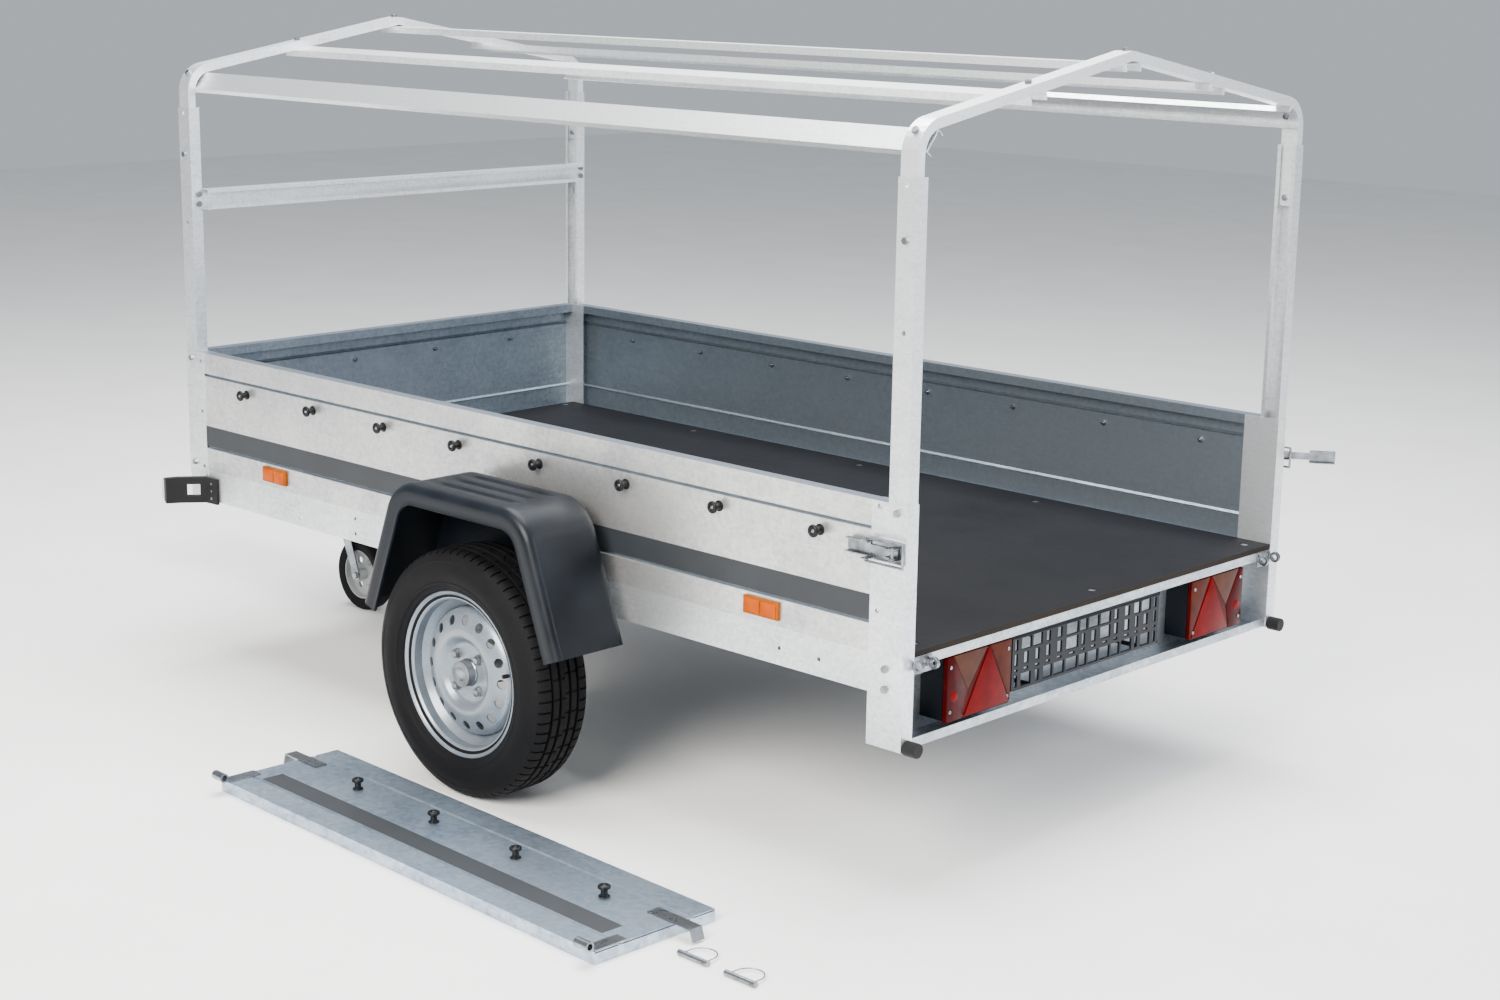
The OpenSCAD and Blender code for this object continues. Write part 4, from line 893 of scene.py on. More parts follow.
    def steel_wheel(self) -> bpy.types.Object:
        """Builds the rim and its disc, with vents and stud seats.

        Returns:
            The wheel's object.
        """
        rim = bmesh.new()
        turned(rim, self.rim_profile(), self.centre, self.out, 128)
        turned(rim, self.disc_profile(), self.centre, self.out, 128)
        word = self.side.word
        made = self.workshop.piece(f"wheel_{word}_pressing", rim, f"wheel_{word}",
                                   "silver_stoving_enamel", "silver_enamel", [f"wheel_{word}"])
        wall = made.modifiers.new("sheet", "SOLIDIFY")
        wall.thickness = 3.0 * MM
        wall.offset = 0.0
        cutters = bmesh.new()
        for i in range(self.vents):
            self.cutter(cutters, self.vent_ring, 360 / self.vents * i, self.vent_radius)
        for i in range(4):
            self.cutter(cutters, 50.0, 45 + 90 * i, 8.5)
        bmesh.ops.transform(cutters, matrix=self.workshop.into_frame, verts=cutters.verts)
        mesh = bpy.data.meshes.new(f"cutters_{word}")
        cutters.to_mesh(mesh)
        cutters.free()
        tool = bpy.data.objects.new(f"cutters_{word}", mesh)
        bpy.context.scene.collection.objects.link(tool)
        cut = made.modifiers.new("punched holes", "BOOLEAN")
        cut.object = tool
        cut.solver = "EXACT"
        bake(made)
        bpy.data.objects.remove(tool)
        mark_edges(made, 32)
        ease(made, 0.9, 2, 32)
        return made

    def cutter(self, bm: bmesh.types.BMesh, ring: float, degrees: float, radius: float) -> None:
        """Adds a punch for a round hole through the disc.

        Args:
            bm: The mesh of punches.
            ring: Distance of the hole from the axle.
            degrees: Place of the hole round the axle.
            radius: Radius of the hole.
        """
        turn = math.radians(degrees)
        spot = self.centre + Vector((ring * math.cos(turn), 0.0, ring * math.sin(turn)))
        spot += self.out * (self.hub_face + 6)
        bmesh.ops.create_cone(bm, cap_ends=True, segments=28, radius1=radius, radius2=radius,
                              depth=40, matrix=Matrix.Translation(spot)
                              @ Matrix.Rotation(math.pi / 2, 4, "X"))

    def hub_parts(self) -> None:
        """Builds the wheel bolts, the dust cap and the valve."""
        word = self.side.word
        bolts = bmesh.new()
        face = self.centre + self.out * (self.hub_face + 4)
        for i in range(4):
            turn = math.radians(45 + 90 * i)
            spot = face + Vector((50 * math.cos(turn), 0, 50 * math.sin(turn)))
            turned(bolts, [(0.01, -6), (8, -6), (8, -2), (11.5, 1), (11.5, 2.5), (9, 3.5)],
                   spot, self.out, 24)
            head = bmesh.ops.create_cone(
                bolts, cap_ends=True, segments=6, radius1=9.6, radius2=9.6, depth=12,
                matrix=Matrix.Translation(spot + self.out * 8)
                @ Matrix.Rotation(math.pi / 2, 4, "X"))["verts"]
            edges = list({edge for vert in head for edge in vert.link_edges})
            bmesh.ops.bevel(bolts, geom=edges, offset=0.8, segments=2, profile=0.5,
                            affect="EDGES", material=-1)
        self.workshop.piece(f"wheel_bolts_{word}", bolts, f"wheel_{word}", "bright_zinc_plate",
                            "zinc_plated_steel")
        cap = bmesh.new()
        turned(cap, [(28, -1), (29.4, -1), (29.4, 3), (28, 4.5), (25.5, 5), (24.8, 14),
                     (23.4, 19), (20, 22.4), (13, 24.6), (6, 25.4), (0.01, 25.6)],
               face, self.out, 64)
        self.workshop.piece(f"dust_cap_{word}", cap, f"wheel_{word}", "bright_zinc_plate",
                            "zinc_plated_steel")
        valve = bmesh.new()
        turn = math.radians(170 if self.side is Side.LEFT else 10)
        spot = self.centre + Vector((150 * math.cos(turn), 0, 150 * math.sin(turn)))
        spot += self.out * 24
        lean = (self.out + Vector((-0.35 * math.cos(turn), 0, -0.35 * math.sin(turn)))).normalized()
        turned(valve, [(0.01, -4), (7.5, -4), (7.5, 0), (5.6, 3), (4.6, 16), (3.8, 20), (3.8, 22),
                       (4.6, 22.5), (4.6, 33), (3.4, 34.5), (0.01, 34.5)], spot, lean, 20)
        self.workshop.piece(f"valve_{word}", valve, f"wheel_{word}", "black_moulded_rubber",
                            "spring_rubber")

    def build(self) -> None:
        """Builds every piece of the wheel."""
        self.tyre()
        self.steel_wheel()
        self.hub_parts()
        self.workshop.soften(f"wheel_hub_{self.side.word}", f"wheel_{self.side.word}",
                             "sand_cast_iron", "cast_hub", 0.6)
        self.workshop.soften(f"trailing_arm_{self.side.word}", f"arm_{self.side.word}",
                             "batch_galvanised_steel", "hot_dip_steel", 1.2)


def bake(made: bpy.types.Object) -> None:
    """Applies an object's modifiers to its mesh.

    Args:
        made: The object.
    """
    graph = bpy.context.evaluated_depsgraph_get()
    graph.update()
    mesh = bpy.data.meshes.new_from_object(made.evaluated_get(graph), depsgraph=graph)
    made.modifiers.clear()
    old = made.data
    made.data = mesh
    bpy.data.meshes.remove(old)
    mesh.name = made.name


def mark_edges(made: bpy.types.Object, sharp: float) -> None:
    """Marks which edges of a mesh stay crisp.

    Args:
        made: The object.
        sharp: Edges that bend more than this many degrees stay crisp.
    """
    bm = bmesh.new()
    bm.from_mesh(made.data)
    bmesh.ops.remove_doubles(bm, verts=bm.verts, dist=1e-6)
    for edge in bm.edges:
        edge.smooth = edge.calc_face_angle(0.0) < math.radians(sharp)
    for face in bm.faces:
        face.smooth = True
    bm.to_mesh(made.data)
    bm.free()


# ------------------------------------------------------------------- fenders
@dataclass
class Fender:
    """A black plastic fender: a fluted arch with a rounded brow, an outer lip and an inner wall."""

    workshop: Workshop
    side: Side
    foot: float = 326.0
    low: float = 375.0
    top_half: float = 215.0
    top: float = 668.0
    corner: float = 100.0
    inner: float = 699.5
    outer: float = 885.5
    lip: float = 48.0
    brow: float = 20.0
    wall_from: float = 440.0
    flutes: tuple[float, ...] = (22.0, 70.0, 118.0)
    flute_depth: float = 5.5

    def stations(self) -> list[tuple[float, float, float]]:
        """Gives the arch's section: places across it, depths in from its outline, flute depths.

        Returns:
            The three measures of each row, in millimetres.
        """
        rows = [(self.inner, 3.0, 0.0), (self.inner + 3, 0.6, 0.0), (self.inner + 14, 0.0, 0.0)]
        for start in self.flutes:
            rows += [(self.inner + start + step, 0.0, self.flute_depth * part)
                     for step, part in ((0, 0), (2, 0.12), (5, 0.8), (7, 1), (19, 1),
                                        (21, 0.8), (24, 0.12), (26, 0))]
        rows.append((self.outer - self.brow - 6, 0.0, 0.0))
        for i in range(8):
            turn = math.pi / 2 * i / 7
            rows.append((self.outer - self.brow + self.brow * math.sin(turn),
                         self.brow * (1 - math.cos(turn)), 0.0))
        rows += [(self.outer - 0.4, self.brow + 12, 0.0), (self.outer - 1.4, self.lip - 6, 0.0),
                 (self.outer - 0.4, self.lip - 2, 0.0), (self.outer - 2.5, self.lip, 0.0),
                 (self.outer - 7, self.lip, 0.0)]
        return rows

    def outline(self) -> list[tuple[Vector, Vector]]:
        """Gives points along the arch, from its front foot over the top, with outward normals.

        Returns:
            A point and its normal for each step.
        """
        foot, peak = Vector((self.foot, self.low)), Vector((self.top_half, self.top))
        flank = (peak - foot).normalized()
        lean = math.atan2(flank.y, flank.x)
        reach = self.corner * math.tan((math.pi - lean) / 2)
        bend = peak - flank * reach
        away = Vector((math.sin(lean), -math.cos(lean)))
        middle = bend - away * self.corner
        half = [(foot.lerp(bend, i / 6), away) for i in range(6)]
        for i in range(15):
            turn = lean - math.pi / 2 + (math.pi - lean) * i / 14
            normal = Vector((math.cos(turn), math.sin(turn)))
            half.append((middle + normal * self.corner, normal))
        end = half[-1][0]
        half += [(Vector((end.x * (1 - i / 8), self.top)), Vector((0.0, 1.0)))
                 for i in range(1, 8)]
        mirrored = [(Vector((-spot.x, spot.y)), Vector((-normal.x, normal.y)))
                    for spot, normal in reversed(half)]
        return half + [(Vector((0.0, self.top)), Vector((0.0, 1.0)))] + mirrored

    def place(self, point: tuple[Vector, Vector], across: float, depth: float,
              flute: float) -> Vector:
        """Sets a point of the arch.

        Args:
            point: The outline's point and normal.
            across: Its place across the fender.
            depth: How far it lies in from the outline.
            flute: How deep a flute lies here, before it fades out at the bends.

        Returns:
            The point in the trailer's axes.
        """
        spot, normal = point
        fade = min(1.0, max(0.0, (150.0 - abs(spot.x)) / 40.0))
        sunk = spot - normal * (depth + flute * fade)
        return Vector((sunk.x, across, sunk.y))

    def arch(self, bm: bmesh.types.BMesh) -> None:
        """Draws the arch: its outline is drawn out across the wheel, row by row.

        Args:
            bm: The mesh to draw in.
        """
        points = self.outline()
        rows = self.stations()
        verts = [bm.verts.new(self.place(point, *rows[0])) for point in points]
        ring = [bm.edges.new(pair) for pair in zip(verts, verts[1:])]
        whose = dict(zip(verts, points))
        for row in rows[1:]:
            made = bmesh.ops.extrude_edge_only(bm, edges=ring)["geom"]
            fresh = {item for item in made if isinstance(item, bmesh.types.BMVert)}
            ring = [item for item in made if isinstance(item, bmesh.types.BMEdge)
                    and item.verts[0] in fresh and item.verts[1] in fresh]
            moved = {}
            for vert in fresh:
                behind = next(edge.other_vert(vert) for edge in vert.link_edges
                              if edge.other_vert(vert) in whose)
                moved[vert] = whose[behind]
                vert.co = self.place(moved[vert], *row)
            whose = moved
        bmesh.ops.recalc_face_normals(bm, faces=bm.faces)
        bm.faces.ensure_lookup_table()
        if max(bm.faces, key=lambda face: face.calc_center_median().z).normal.z < 0:
            bmesh.ops.reverse_faces(bm, faces=bm.faces)

    def inner_wall(self, bm: bmesh.types.BMesh) -> None:
        """Draws the plate that closes the arch's inner side above the stub axle.

        Args:
            bm: The mesh to draw in.
        """
        ring = [bm.verts.new(self.place(point, self.inner, 3.0, 0.0)) for point in self.outline()
                if self.place(point, self.inner, 3.0, 0.0).z > self.wall_from]
        face = bm.faces.new(ring)
        bmesh.ops.inset_region(bm, faces=[face], thickness=26.0, depth=0.0)
        bmesh.ops.inset_region(bm, faces=[face], thickness=6.0, depth=-3.0)
        bmesh.ops.recalc_face_normals(bm, faces=bm.faces)
        bm.faces.ensure_lookup_table()
        if bm.faces[0].normal.y < 0:
            bmesh.ops.reverse_faces(bm, faces=bm.faces)

    def build(self) -> None:
        """Builds the arch and its inner wall with a moulding's wall thickness."""
        for part, draw in (("arch", self.arch), ("inner_wall", self.inner_wall)):
            bm = bmesh.new()
            draw(bm)
            if self.side is Side.RIGHT:
                bmesh.ops.scale(bm, vec=(1, -1, 1), verts=bm.verts)
                bmesh.ops.reverse_faces(bm, faces=bm.faces)
            replaced = ["fenders"] if (part, self.side) == ("arch", Side.LEFT) else []
            made = self.workshop.piece(f"fender_{part}_{self.side.word}", bm, "chassis",
                                       "grained_black_polypropylene", "black_polypropylene",
                                       replaced, sharp=50)
            wall = made.modifiers.new("wall", "SOLIDIFY")
            wall.thickness = 3.2 * MM
            wall.offset = -1.0
            ease(made, 0.8, 2, 60)


# --------------------------------------------------------------------- lamps
@dataclass(frozen=True)
class LensField:
    """One dyed field of a rear lamp: its corners as shares of the lens, outer side first."""

    name: str
    finish: str
    corners: tuple[tuple[float, float], ...]
    proud: float = 0.0


@dataclass
class RearLamp:
    """A rear lamp: dyed lens fields round a raised triangular reflector, held by four screws."""

    workshop: Workshop
    side: Side
    width: float = 200.0
    fields: tuple[LensField, ...] = (
        LensField("tail", "dark_red_acrylic",
                  ((0.0, 0.0), (0.24, 0.0), (0.32, 0.42), (0.09, 1.0), (0.0, 1.0))),
        LensField("indicator", "amber_acrylic", ((0.09, 1.0), (0.32, 0.42), (0.62, 1.0))),
        LensField("fog", "smoked_acrylic", ((0.66, 1.0), (1.0, 0.03), (1.0, 1.0))),
        LensField("triangle", "bright_red_acrylic", ((0.27, 0.03), (0.98, 0.03), (0.635, 0.98)),
                  2.2),
    )

    def __post_init__(self) -> None:
        """Finds the lens from the CAD node."""
        self.low, self.high = self.workshop.box_mm("lamp_lenses")

    def spot(self, share: tuple[float, float], proud: float) -> Vector:
        """Gives a point of the lens from its shares across and up."""
        return Vector((self.low.x - proud, self.high.y - share[0] * self.width,
                       self.low.z + share[1] * (self.high.z - self.low.z)))

    def finish_mesh(self, name: str, bm: bmesh.types.BMesh, finish: str, slot: str,
                    replaces: Iterable[str] = ()) -> None:
        """Mirrors a mesh for the right lamp and makes it a piece.

        Args:
            name: The piece's name without its side.
            bm: The left lamp's mesh.
            finish: Name of its finish.
            slot: The record's material slot; it is not used.
            replaces: CAD nodes it stands for.
        """
        if self.side is Side.RIGHT:
            bmesh.ops.scale(bm, vec=(1, -1, 1), verts=bm.verts)
            bmesh.ops.reverse_faces(bm, faces=bm.faces)
        self.workshop.piece(f"lamp_{name}_{self.side.word}", bm, "chassis", finish, slot, replaces)

    def lens(self, field_: LensField) -> None:
        """Builds one field as a solid moulding that stands a little off its neighbours.

        Args:
            field_: The field's corners and finish.
        """
        bm = bmesh.new()
        middle = sum((Vector(corner) for corner in field_.corners), Vector((0, 0)))
        middle /= len(field_.corners)
        ring = []
        for corner in field_.corners:
            inward = (middle - Vector(corner)).normalized() * 0.006
            ring.append(bm.verts.new(self.spot(tuple(Vector(corner) + inward),
                                               field_.proud + 0.6)))
        face = bm.faces.new(ring)
        made = bmesh.ops.extrude_face_region(bm, geom=[face])["geom"]
        back = [item for item in made if isinstance(item, bmesh.types.BMVert)]
        bmesh.ops.translate(bm, vec=(8.0 + field_.proud, 0, 0), verts=back)
        bmesh.ops.recalc_face_normals(bm, faces=bm.faces)
        bmesh.ops.bevel(bm, geom=list(bm.edges), offset=0.9, segments=2, profile=0.5,
                        affect="EDGES", material=-1)
        self.finish_mesh(field_.name, bm, field_.finish, "red_lens")

    def build(self) -> None:
        """Builds the lens's body, its fields, the bulb's bright dome and the screws."""
        body = bmesh.new()
        block(body, (self.low.x + 0.4, self.high.y - self.width, self.low.z),
              (self.high.x, self.high.y, self.high.z), 3.0, 3)
        self.finish_mesh("body", body, "dark_red_acrylic", "red_lens",
                         ["lamp_lenses"] if self.side is Side.LEFT else [])
        for field_ in self.fields:
            self.lens(field_)
        dome = bmesh.new()
        turned(dome, [(11, 0), (10, 1.2), (6, 2.2), (0.01, 2.6)], self.spot((0.11, 0.38), 0.4),
               Vector((-1, 0, 0)), 32)
        self.finish_mesh("dome", dome, "bright_red_acrylic", "red_lens")
        screws = bmesh.new()
        for share in ((0.05, 0.16), (0.05, 0.84), (0.95, 0.12), (0.95, 0.86)):
            turned(screws, [(3.8, -1.4), (3.8, 0.6), (2.8, 1.6), (1.0, 2.0), (0.9, 0.9),
                            (0.01, 0.9)], self.spot(share, 1.0), Vector((-1, 0, 0)), 18)
        self.finish_mesh("screws", screws, "bright_zinc_plate", "zinc_plated_steel")


@dataclass
class PlateHolder:
    """The black lattice that carries the number plate between the rear lamps."""

    workshop: Workshop
    columns: int = 14
    rows: int = 4
    windows: tuple[tuple[int, int], ...] = ((1, 3), (2, 3), (5, 3), (6, 3), (5, 2), (1, 0),
                                            (3, 0), (4, 0), (5, 0), (6, 0))

    def build(self) -> None:
        """Builds the lattice with its windows, its border and its bosses."""
        low, high = self.workshop.box_mm("plate_holder")
        bm = bmesh.new()
        middle = Vector((low.x + 0.5, (low.y + high.y) / 2, (low.z + high.z) / 2))
        spot = (Matrix.Translation(middle) @ Matrix.Rotation(math.pi / 2, 4, "Z")
                @ Matrix.Rotation(math.pi / 2, 4, "X")
                @ Matrix.Diagonal((high.y - low.y - 8, high.z - low.z - 8, 1, 1)))
        bmesh.ops.create_grid(bm, x_segments=self.columns, y_segments=self.rows, size=0.5,
                              matrix=spot)
        # The bars stand at uneven steps, so that tall windows alternate with slots
        across = [0.0, 0.055, 0.13, 0.185, 0.27, 0.34, 0.42, 0.5, 0.56, 0.65, 0.73, 0.8, 0.87,
                  0.945, 1.0]
        upright = [0.0, 0.3, 0.42, 0.72, 1.0]
        for vert in bm.verts:
            step = round((vert.co.y - low.y - 4) / (high.y - low.y - 8) * self.columns)
            level = round((vert.co.z - low.z - 4) / (high.z - low.z - 8) * self.rows)
            vert.co.y = low.y + 4 + (high.y - low.y - 8) * across[step]
            vert.co.z = low.z + 4 + (high.z - low.z - 8) * upright[level]
        # A few cells are open windows, and the rest hold only a narrow slit
        slits, windows = [], []
        for face in bm.faces:
            centre = face.calc_center_median()
            step = sum(centre.y > low.y + 4 + (high.y - low.y - 8) * s for s in across) - 1
            level = sum(centre.z > low.z + 4 + (high.z - low.z - 8) * s for s in upright) - 1
            half = min(step, self.columns - 1 - step)
            (windows if (half, level) in self.windows else slits).append(face)
        for faces, bar in ((windows, 4.0), (slits, 5.5)):
            bmesh.ops.inset_individual(bm, faces=faces, thickness=bar)
        for face in slits:
            centre = face.calc_center_median()
            for vert in face.verts:
                vert.co.y = centre.y + (vert.co.y - centre.y) * 0.45
        bmesh.ops.delete(bm, geom=slits + windows, context="FACES_ONLY")
        made = self.workshop.piece("plate_lattice", bm, "chassis", "grained_black_polypropylene",
                                   "black_polypropylene", ["plate_holder"])
        wall = made.modifiers.new("bars", "SOLIDIFY")
        wall.thickness = 5.0 * MM
        wall.offset = 0.0
        ease(made, 0.7)
        posts = bmesh.new()
        frame_w = 6.0
        x_face = low.x
        for a, b in (((low.y, low.z), (high.y, low.z + frame_w)),
                     ((low.y, high.z - frame_w), (high.y, high.z)),
                     ((low.y, low.z), (low.y + frame_w, high.z)),
                     ((high.y - frame_w, low.z), (high.y, high.z))):
            block(posts, (x_face, *a), (x_face + 6.5, *b), 0.8)
        for y in (low.y + 64, high.y - 64):
            for z in (low.z + 5, high.z - 5):
                turned(posts, [(5, 0), (5, high.x - x_face - 0.2)], Vector((x_face + 1, y, z)),
                       Vector((1, 0, 0)), 20)
        self.workshop.piece("plate_frame", posts, "chassis", "grained_black_polypropylene",
                            "black_polypropylene")


@dataclass
class PositionLamp:
    """A rubber arm at a front corner that holds a clear lens out to the side."""

    workshop: Workshop
    side: Side

    def build(self) -> None:
        """Builds the arm with its window and its screws, and the lens."""
        bm = self.workshop.merged("position_lamps")
        bmesh.ops.transform(bm, matrix=self.workshop.into_frame.inverted(), verts=bm.verts)
        sign = self.side.value
        other = [vert for vert in bm.verts if vert.co.y * sign < 0]
        bmesh.ops.delete(bm, geom=other, context="VERTS")
        low, high = self.workshop.box_mm("position_lamps")
        word = self.side.word
        made = self.workshop.piece(
            f"position_arm_{word}", bm, "chassis", "black_moulded_rubber", "spring_rubber",
            ["position_lamps"] if self.side is Side.LEFT else [])
        ease(made, 3.0, 3)
        lens = bmesh.new()
        y = high.y if sign > 0 else low.y
        block(lens, (high.x - 17, y - sign * 6 if sign < 0 else y - 36, low.z + 7),
              (high.x + 4, y - sign * 36 if sign < 0 else y - 6, high.z - 7), 4.0, 3)
        self.workshop.piece(f"position_lens_{word}", lens, "chassis", "clear_acrylic", "red_lens")
        screws = bmesh.new()
        for z in (low.z + 14, (low.z + high.z) / 2, high.z - 14):
            turned(screws, [(4.2, -1), (4.2, 1.2), (3, 2.2), (0.01, 2.4)],
                   Vector((low.x + 23, sign * (656.5 + 8), z)), Vector((0, sign, 0)), 18)
        self.workshop.piece(f"position_screws_{word}", screws, "chassis", "bright_zinc_plate",
                            "zinc_plated_steel")


@dataclass
class SideTrim:
    """Amber reflectors, tarpaulin knobs, domed rivets and round-headed floor bolts."""

    workshop: Workshop

    def reflectors(self) -> None:
        """Builds each reflector as a frame with two prism fields."""
        for index, (low, high) in enumerate(islands("side_reflectors")):
            a = (low - self.workshop.zero) / MM
            b = (high - self.workshop.zero) / MM
            out = 1 if a.y > 0 else -1
            back, front = (a.y, b.y) if out > 0 else (b.y, a.y)
            bm = bmesh.new()
            block(bm, (a.x, min(back, front - out * 2), a.z), (b.x, max(back, front - out * 2), b.z),
                  1.6, 3)
            self.workshop.piece(f"reflector_frame_{index}", bm, "chassis", "amber_acrylic_body",
                                "amber_reflector", ["side_reflectors"] if index == 0 else [])
            fields = bmesh.new()
            mid = (a.x + b.x) / 2
            for x0, x1 in ((a.x + 5, mid - 2), (mid + 2, b.x - 5)):
                block(fields, (x0, min(back + out * 3, front), a.z + 4.5),
                      (x1, max(back + out * 3, front), b.z - 4.5), 1.0)
            self.workshop.piece(f"reflector_fields_{index}", fields, "chassis",
                                "amber_acrylic_prisms", "amber_reflector")

    def knob(self, bm: bmesh.types.BMesh, spot: Vector, out: Vector) -> None:
        """Adds one spool-shaped knob.

        Args:
            bm: The mesh of knobs.
            spot: Where the knob meets its panel.
            out: The direction it stands in.
        """
        turned(bm, [(0.01, 0), (11, 0), (11.6, 0.8), (11, 2.2), (8, 3.2), (7, 6), (7, 13),
                    (8, 15), (11, 16.2), (12.6, 17.4), (13, 19.4), (12.7, 21.6), (11.4, 23.2),
                    (9.4, 24), (6.4, 24), (5.6, 23.4), (5.2, 20.5), (0.01, 20.5)], spot, out, 28)

    def knobs(self) -> None:
        """Builds the knobs with their screws on the sides and the front."""
        black, screws = bmesh.new(), bmesh.new()
        for low, high in islands("tarp_knobs"):
            a, b = (low - self.workshop.zero) / MM, (high - self.workshop.zero) / MM
            middle = (a + b) / 2
            if b.x - a.x > b.y - a.y:
                spot, out = Vector((b.x - 24, middle.y, middle.z)), Vector((1, 0, 0))
            elif middle.y > 0:
                spot, out = Vector((middle.x, b.y - 24, middle.z)), Vector((0, 1, 0))
            else:
                spot, out = Vector((middle.x, a.y + 24, middle.z)), Vector((0, -1, 0))
            self.knob(black, spot, out)
            turned(screws, [(4.4, 20), (4.4, 21.6), (3.4, 22.6), (0.01, 23)], spot, out, 18)
            turned(screws, [(0.01, -13), (3, -13), (3, -1)], spot, out, 14)
            bmesh.ops.create_cone(screws, cap_ends=True, segments=6, radius1=6, radius2=6, depth=5,
                                  matrix=Matrix.Translation(spot - out * 4.2)
                                  @ out.to_track_quat("Z", "Y").to_matrix().to_4x4())
        self.workshop.piece("tarp_knob_heads", black, "chassis", "gloss_black_nylon",
                            "black_polypropylene", ["tarp_knobs"])
        self.workshop.piece("tarp_knob_screws", screws, "chassis", "bright_zinc_plate",
                            "zinc_plated_steel")

    def heads(self) -> None:
        """Builds the domed rivets and the round bolt heads in the floor."""
        domes = bmesh.new()
        for low, high in islands("rivets"):
            a, b = (low - self.workshop.zero) / MM, (high - self.workshop.zero) / MM
            out = Vector((0, 1 if a.y > 0 else -1, 0))
            spot = Vector(((a.x + b.x) / 2, a.y if out.y > 0 else b.y, (a.z + b.z) / 2))
            turned(domes, [(4.6, 0), (4.4, 0.8), (3.3, 1.7), (1.8, 2.2), (0.01, 2.3)], spot, out, 24)
        self.workshop.piece("rivet_domes", domes, "chassis", "bright_zinc_plate",
                            "zinc_plated_steel", ["rivets"])
        bolts = bmesh.new()
        for low, high in islands("floor_bolts"):
            a, b = (low - self.workshop.zero) / MM, (high - self.workshop.zero) / MM
            spot = Vector(((a.x + b.x) / 2, (a.y + b.y) / 2, b.z - 2.5))
            turned(bolts, [(0.01, a.z - spot.z), (4, a.z - spot.z), (4, 0), (10, 0), (9.6, 1.0),
                           (7, 2.0), (3, 2.5), (0.01, 2.6)], spot, Vector((0, 0, 1)), 24)
        self.workshop.piece("floor_bolt_heads", bolts, "chassis", "bright_zinc_plate",
                            "zinc_plated_steel", ["floor_bolts"])

    def build(self) -> None:
        """Builds every piece of trim."""
        self.reflectors()
        self.knobs()
        self.heads()


# --------------------------------------------------------- frame and chassis
@dataclass
class Bodywork:
    """Folded sheets, posts, chassis members, tarpaulin frame and axle; the drawbar, saddles, axle tube,
    bolts, lugs and buffers get eased edges.
    """

    workshop: Workshop

    def build(self) -> None:
        """Dresses the bodywork."""
        shop = self.workshop
        shop.dress("galvanised_side_sheet", "side_panels")
        # The front panel's darker, bluer sheet is painted shade for its side inside the bed
        shop.dress("galvanised_bed_sheet", "front_panel")
        shop.dress("galvanised_sheet_steel", "rear_sill")
        shop.dress("film_faced_plywood", "floor_board")
        shop.dress("galvanised_section_steel", "side_members", "cross_members", "rear_posts",
                   "front_posts", "uprights", "front_cross_rail", "fender_brackets")
        shop.dress("galvanised_rail_steel", "bows", "roof_rails")
        shop.dress("batch_galvanised_steel", "axle_brackets")
        shop.dress("black_moulded_rubber", "torsion_rubbers")
        shop.dress("grained_black_polypropylene", "lamp_housings")
        shop.soften("frame_bolts", "chassis", "bright_zinc_plate", "zinc_plated_steel", 0.7)
        shop.soften("drawbar", "chassis", "batch_galvanised_steel", "hot_dip_steel", 3.0)
        shop.soften("drawbar_saddles", "chassis", "batch_galvanised_steel", "hot_dip_steel", 1.5)
        shop.soften("axle_tube", "chassis", "batch_galvanised_steel", "hot_dip_steel", 4.0)
        shop.soften("hinge_lugs", "chassis", "bright_zinc_plate", "zinc_plated_steel", 0.7)
        shop.soften("buffers", "chassis", "black_moulded_rubber", "spring_rubber", 2.0)


@dataclass
class Latches:
    """The two side latches: base plate, lever and wire bail."""

    workshop: Workshop

    def build(self) -> None:
        """Builds both latches."""
        shop = self.workshop
        shop.soften("latch_bases", "chassis", "bright_zinc_plate", "zinc_plated_steel", 0.6)
        for side in Side:
            word = side.word
            shop.soften(f"latch_lever_{word}", f"lever_{word}", "bright_zinc_plate",
                        "zinc_plated_steel", 0.6)
            shop.dress("bright_zinc_plate", f"latch_bail_{word}")


@dataclass
class Coupling:
    """Ball coupling, jaw, handle and jockey wheel at the front."""

    workshop: Workshop

    def build(self) -> None:
        """Dresses the coupling and the jockey wheel."""
        shop = self.workshop
        shop.soften("coupling_head", "chassis", "zinc_coated_casting", "cast_coupling", 2.0)
        shop.soften("coupling_jaw", "coupling_jaw", "zinc_coated_casting", "cast_coupling", 0.8)
        shop.soften("coupling_handle", "coupling_handle", "black_powder_coat",
                    "black_lever_paint", 2.0)
        shop.soften("jockey_clamp", "chassis", "zinc_coated_casting", "zinc_plated_steel", 1.5)
        shop.soften("clamp_screw", "clamp_screw", "bright_zinc_plate", "zinc_plated_steel", 0.8)
        shop.soften("jockey_outer_tube", "chassis", "bright_zinc_plate", "zinc_plated_steel", 0.8)
        shop.soften("jockey_inner_tube", "inner_tube", "bright_zinc_plate", "zinc_plated_steel",
                    0.5)
        shop.soften("jockey_fork", "fork", "bright_zinc_plate", "zinc_plated_steel", 0.8)
        shop.soften("jockey_crank", "crank", "bright_zinc_plate", "zinc_plated_steel", 1.2)
        shop.soften("jockey_rim", "jockey_wheel", "grey_moulded_nylon", "grey_nylon", 1.0)
        shop.dress("vulcanised_tyre_rubber", "jockey_tyre")


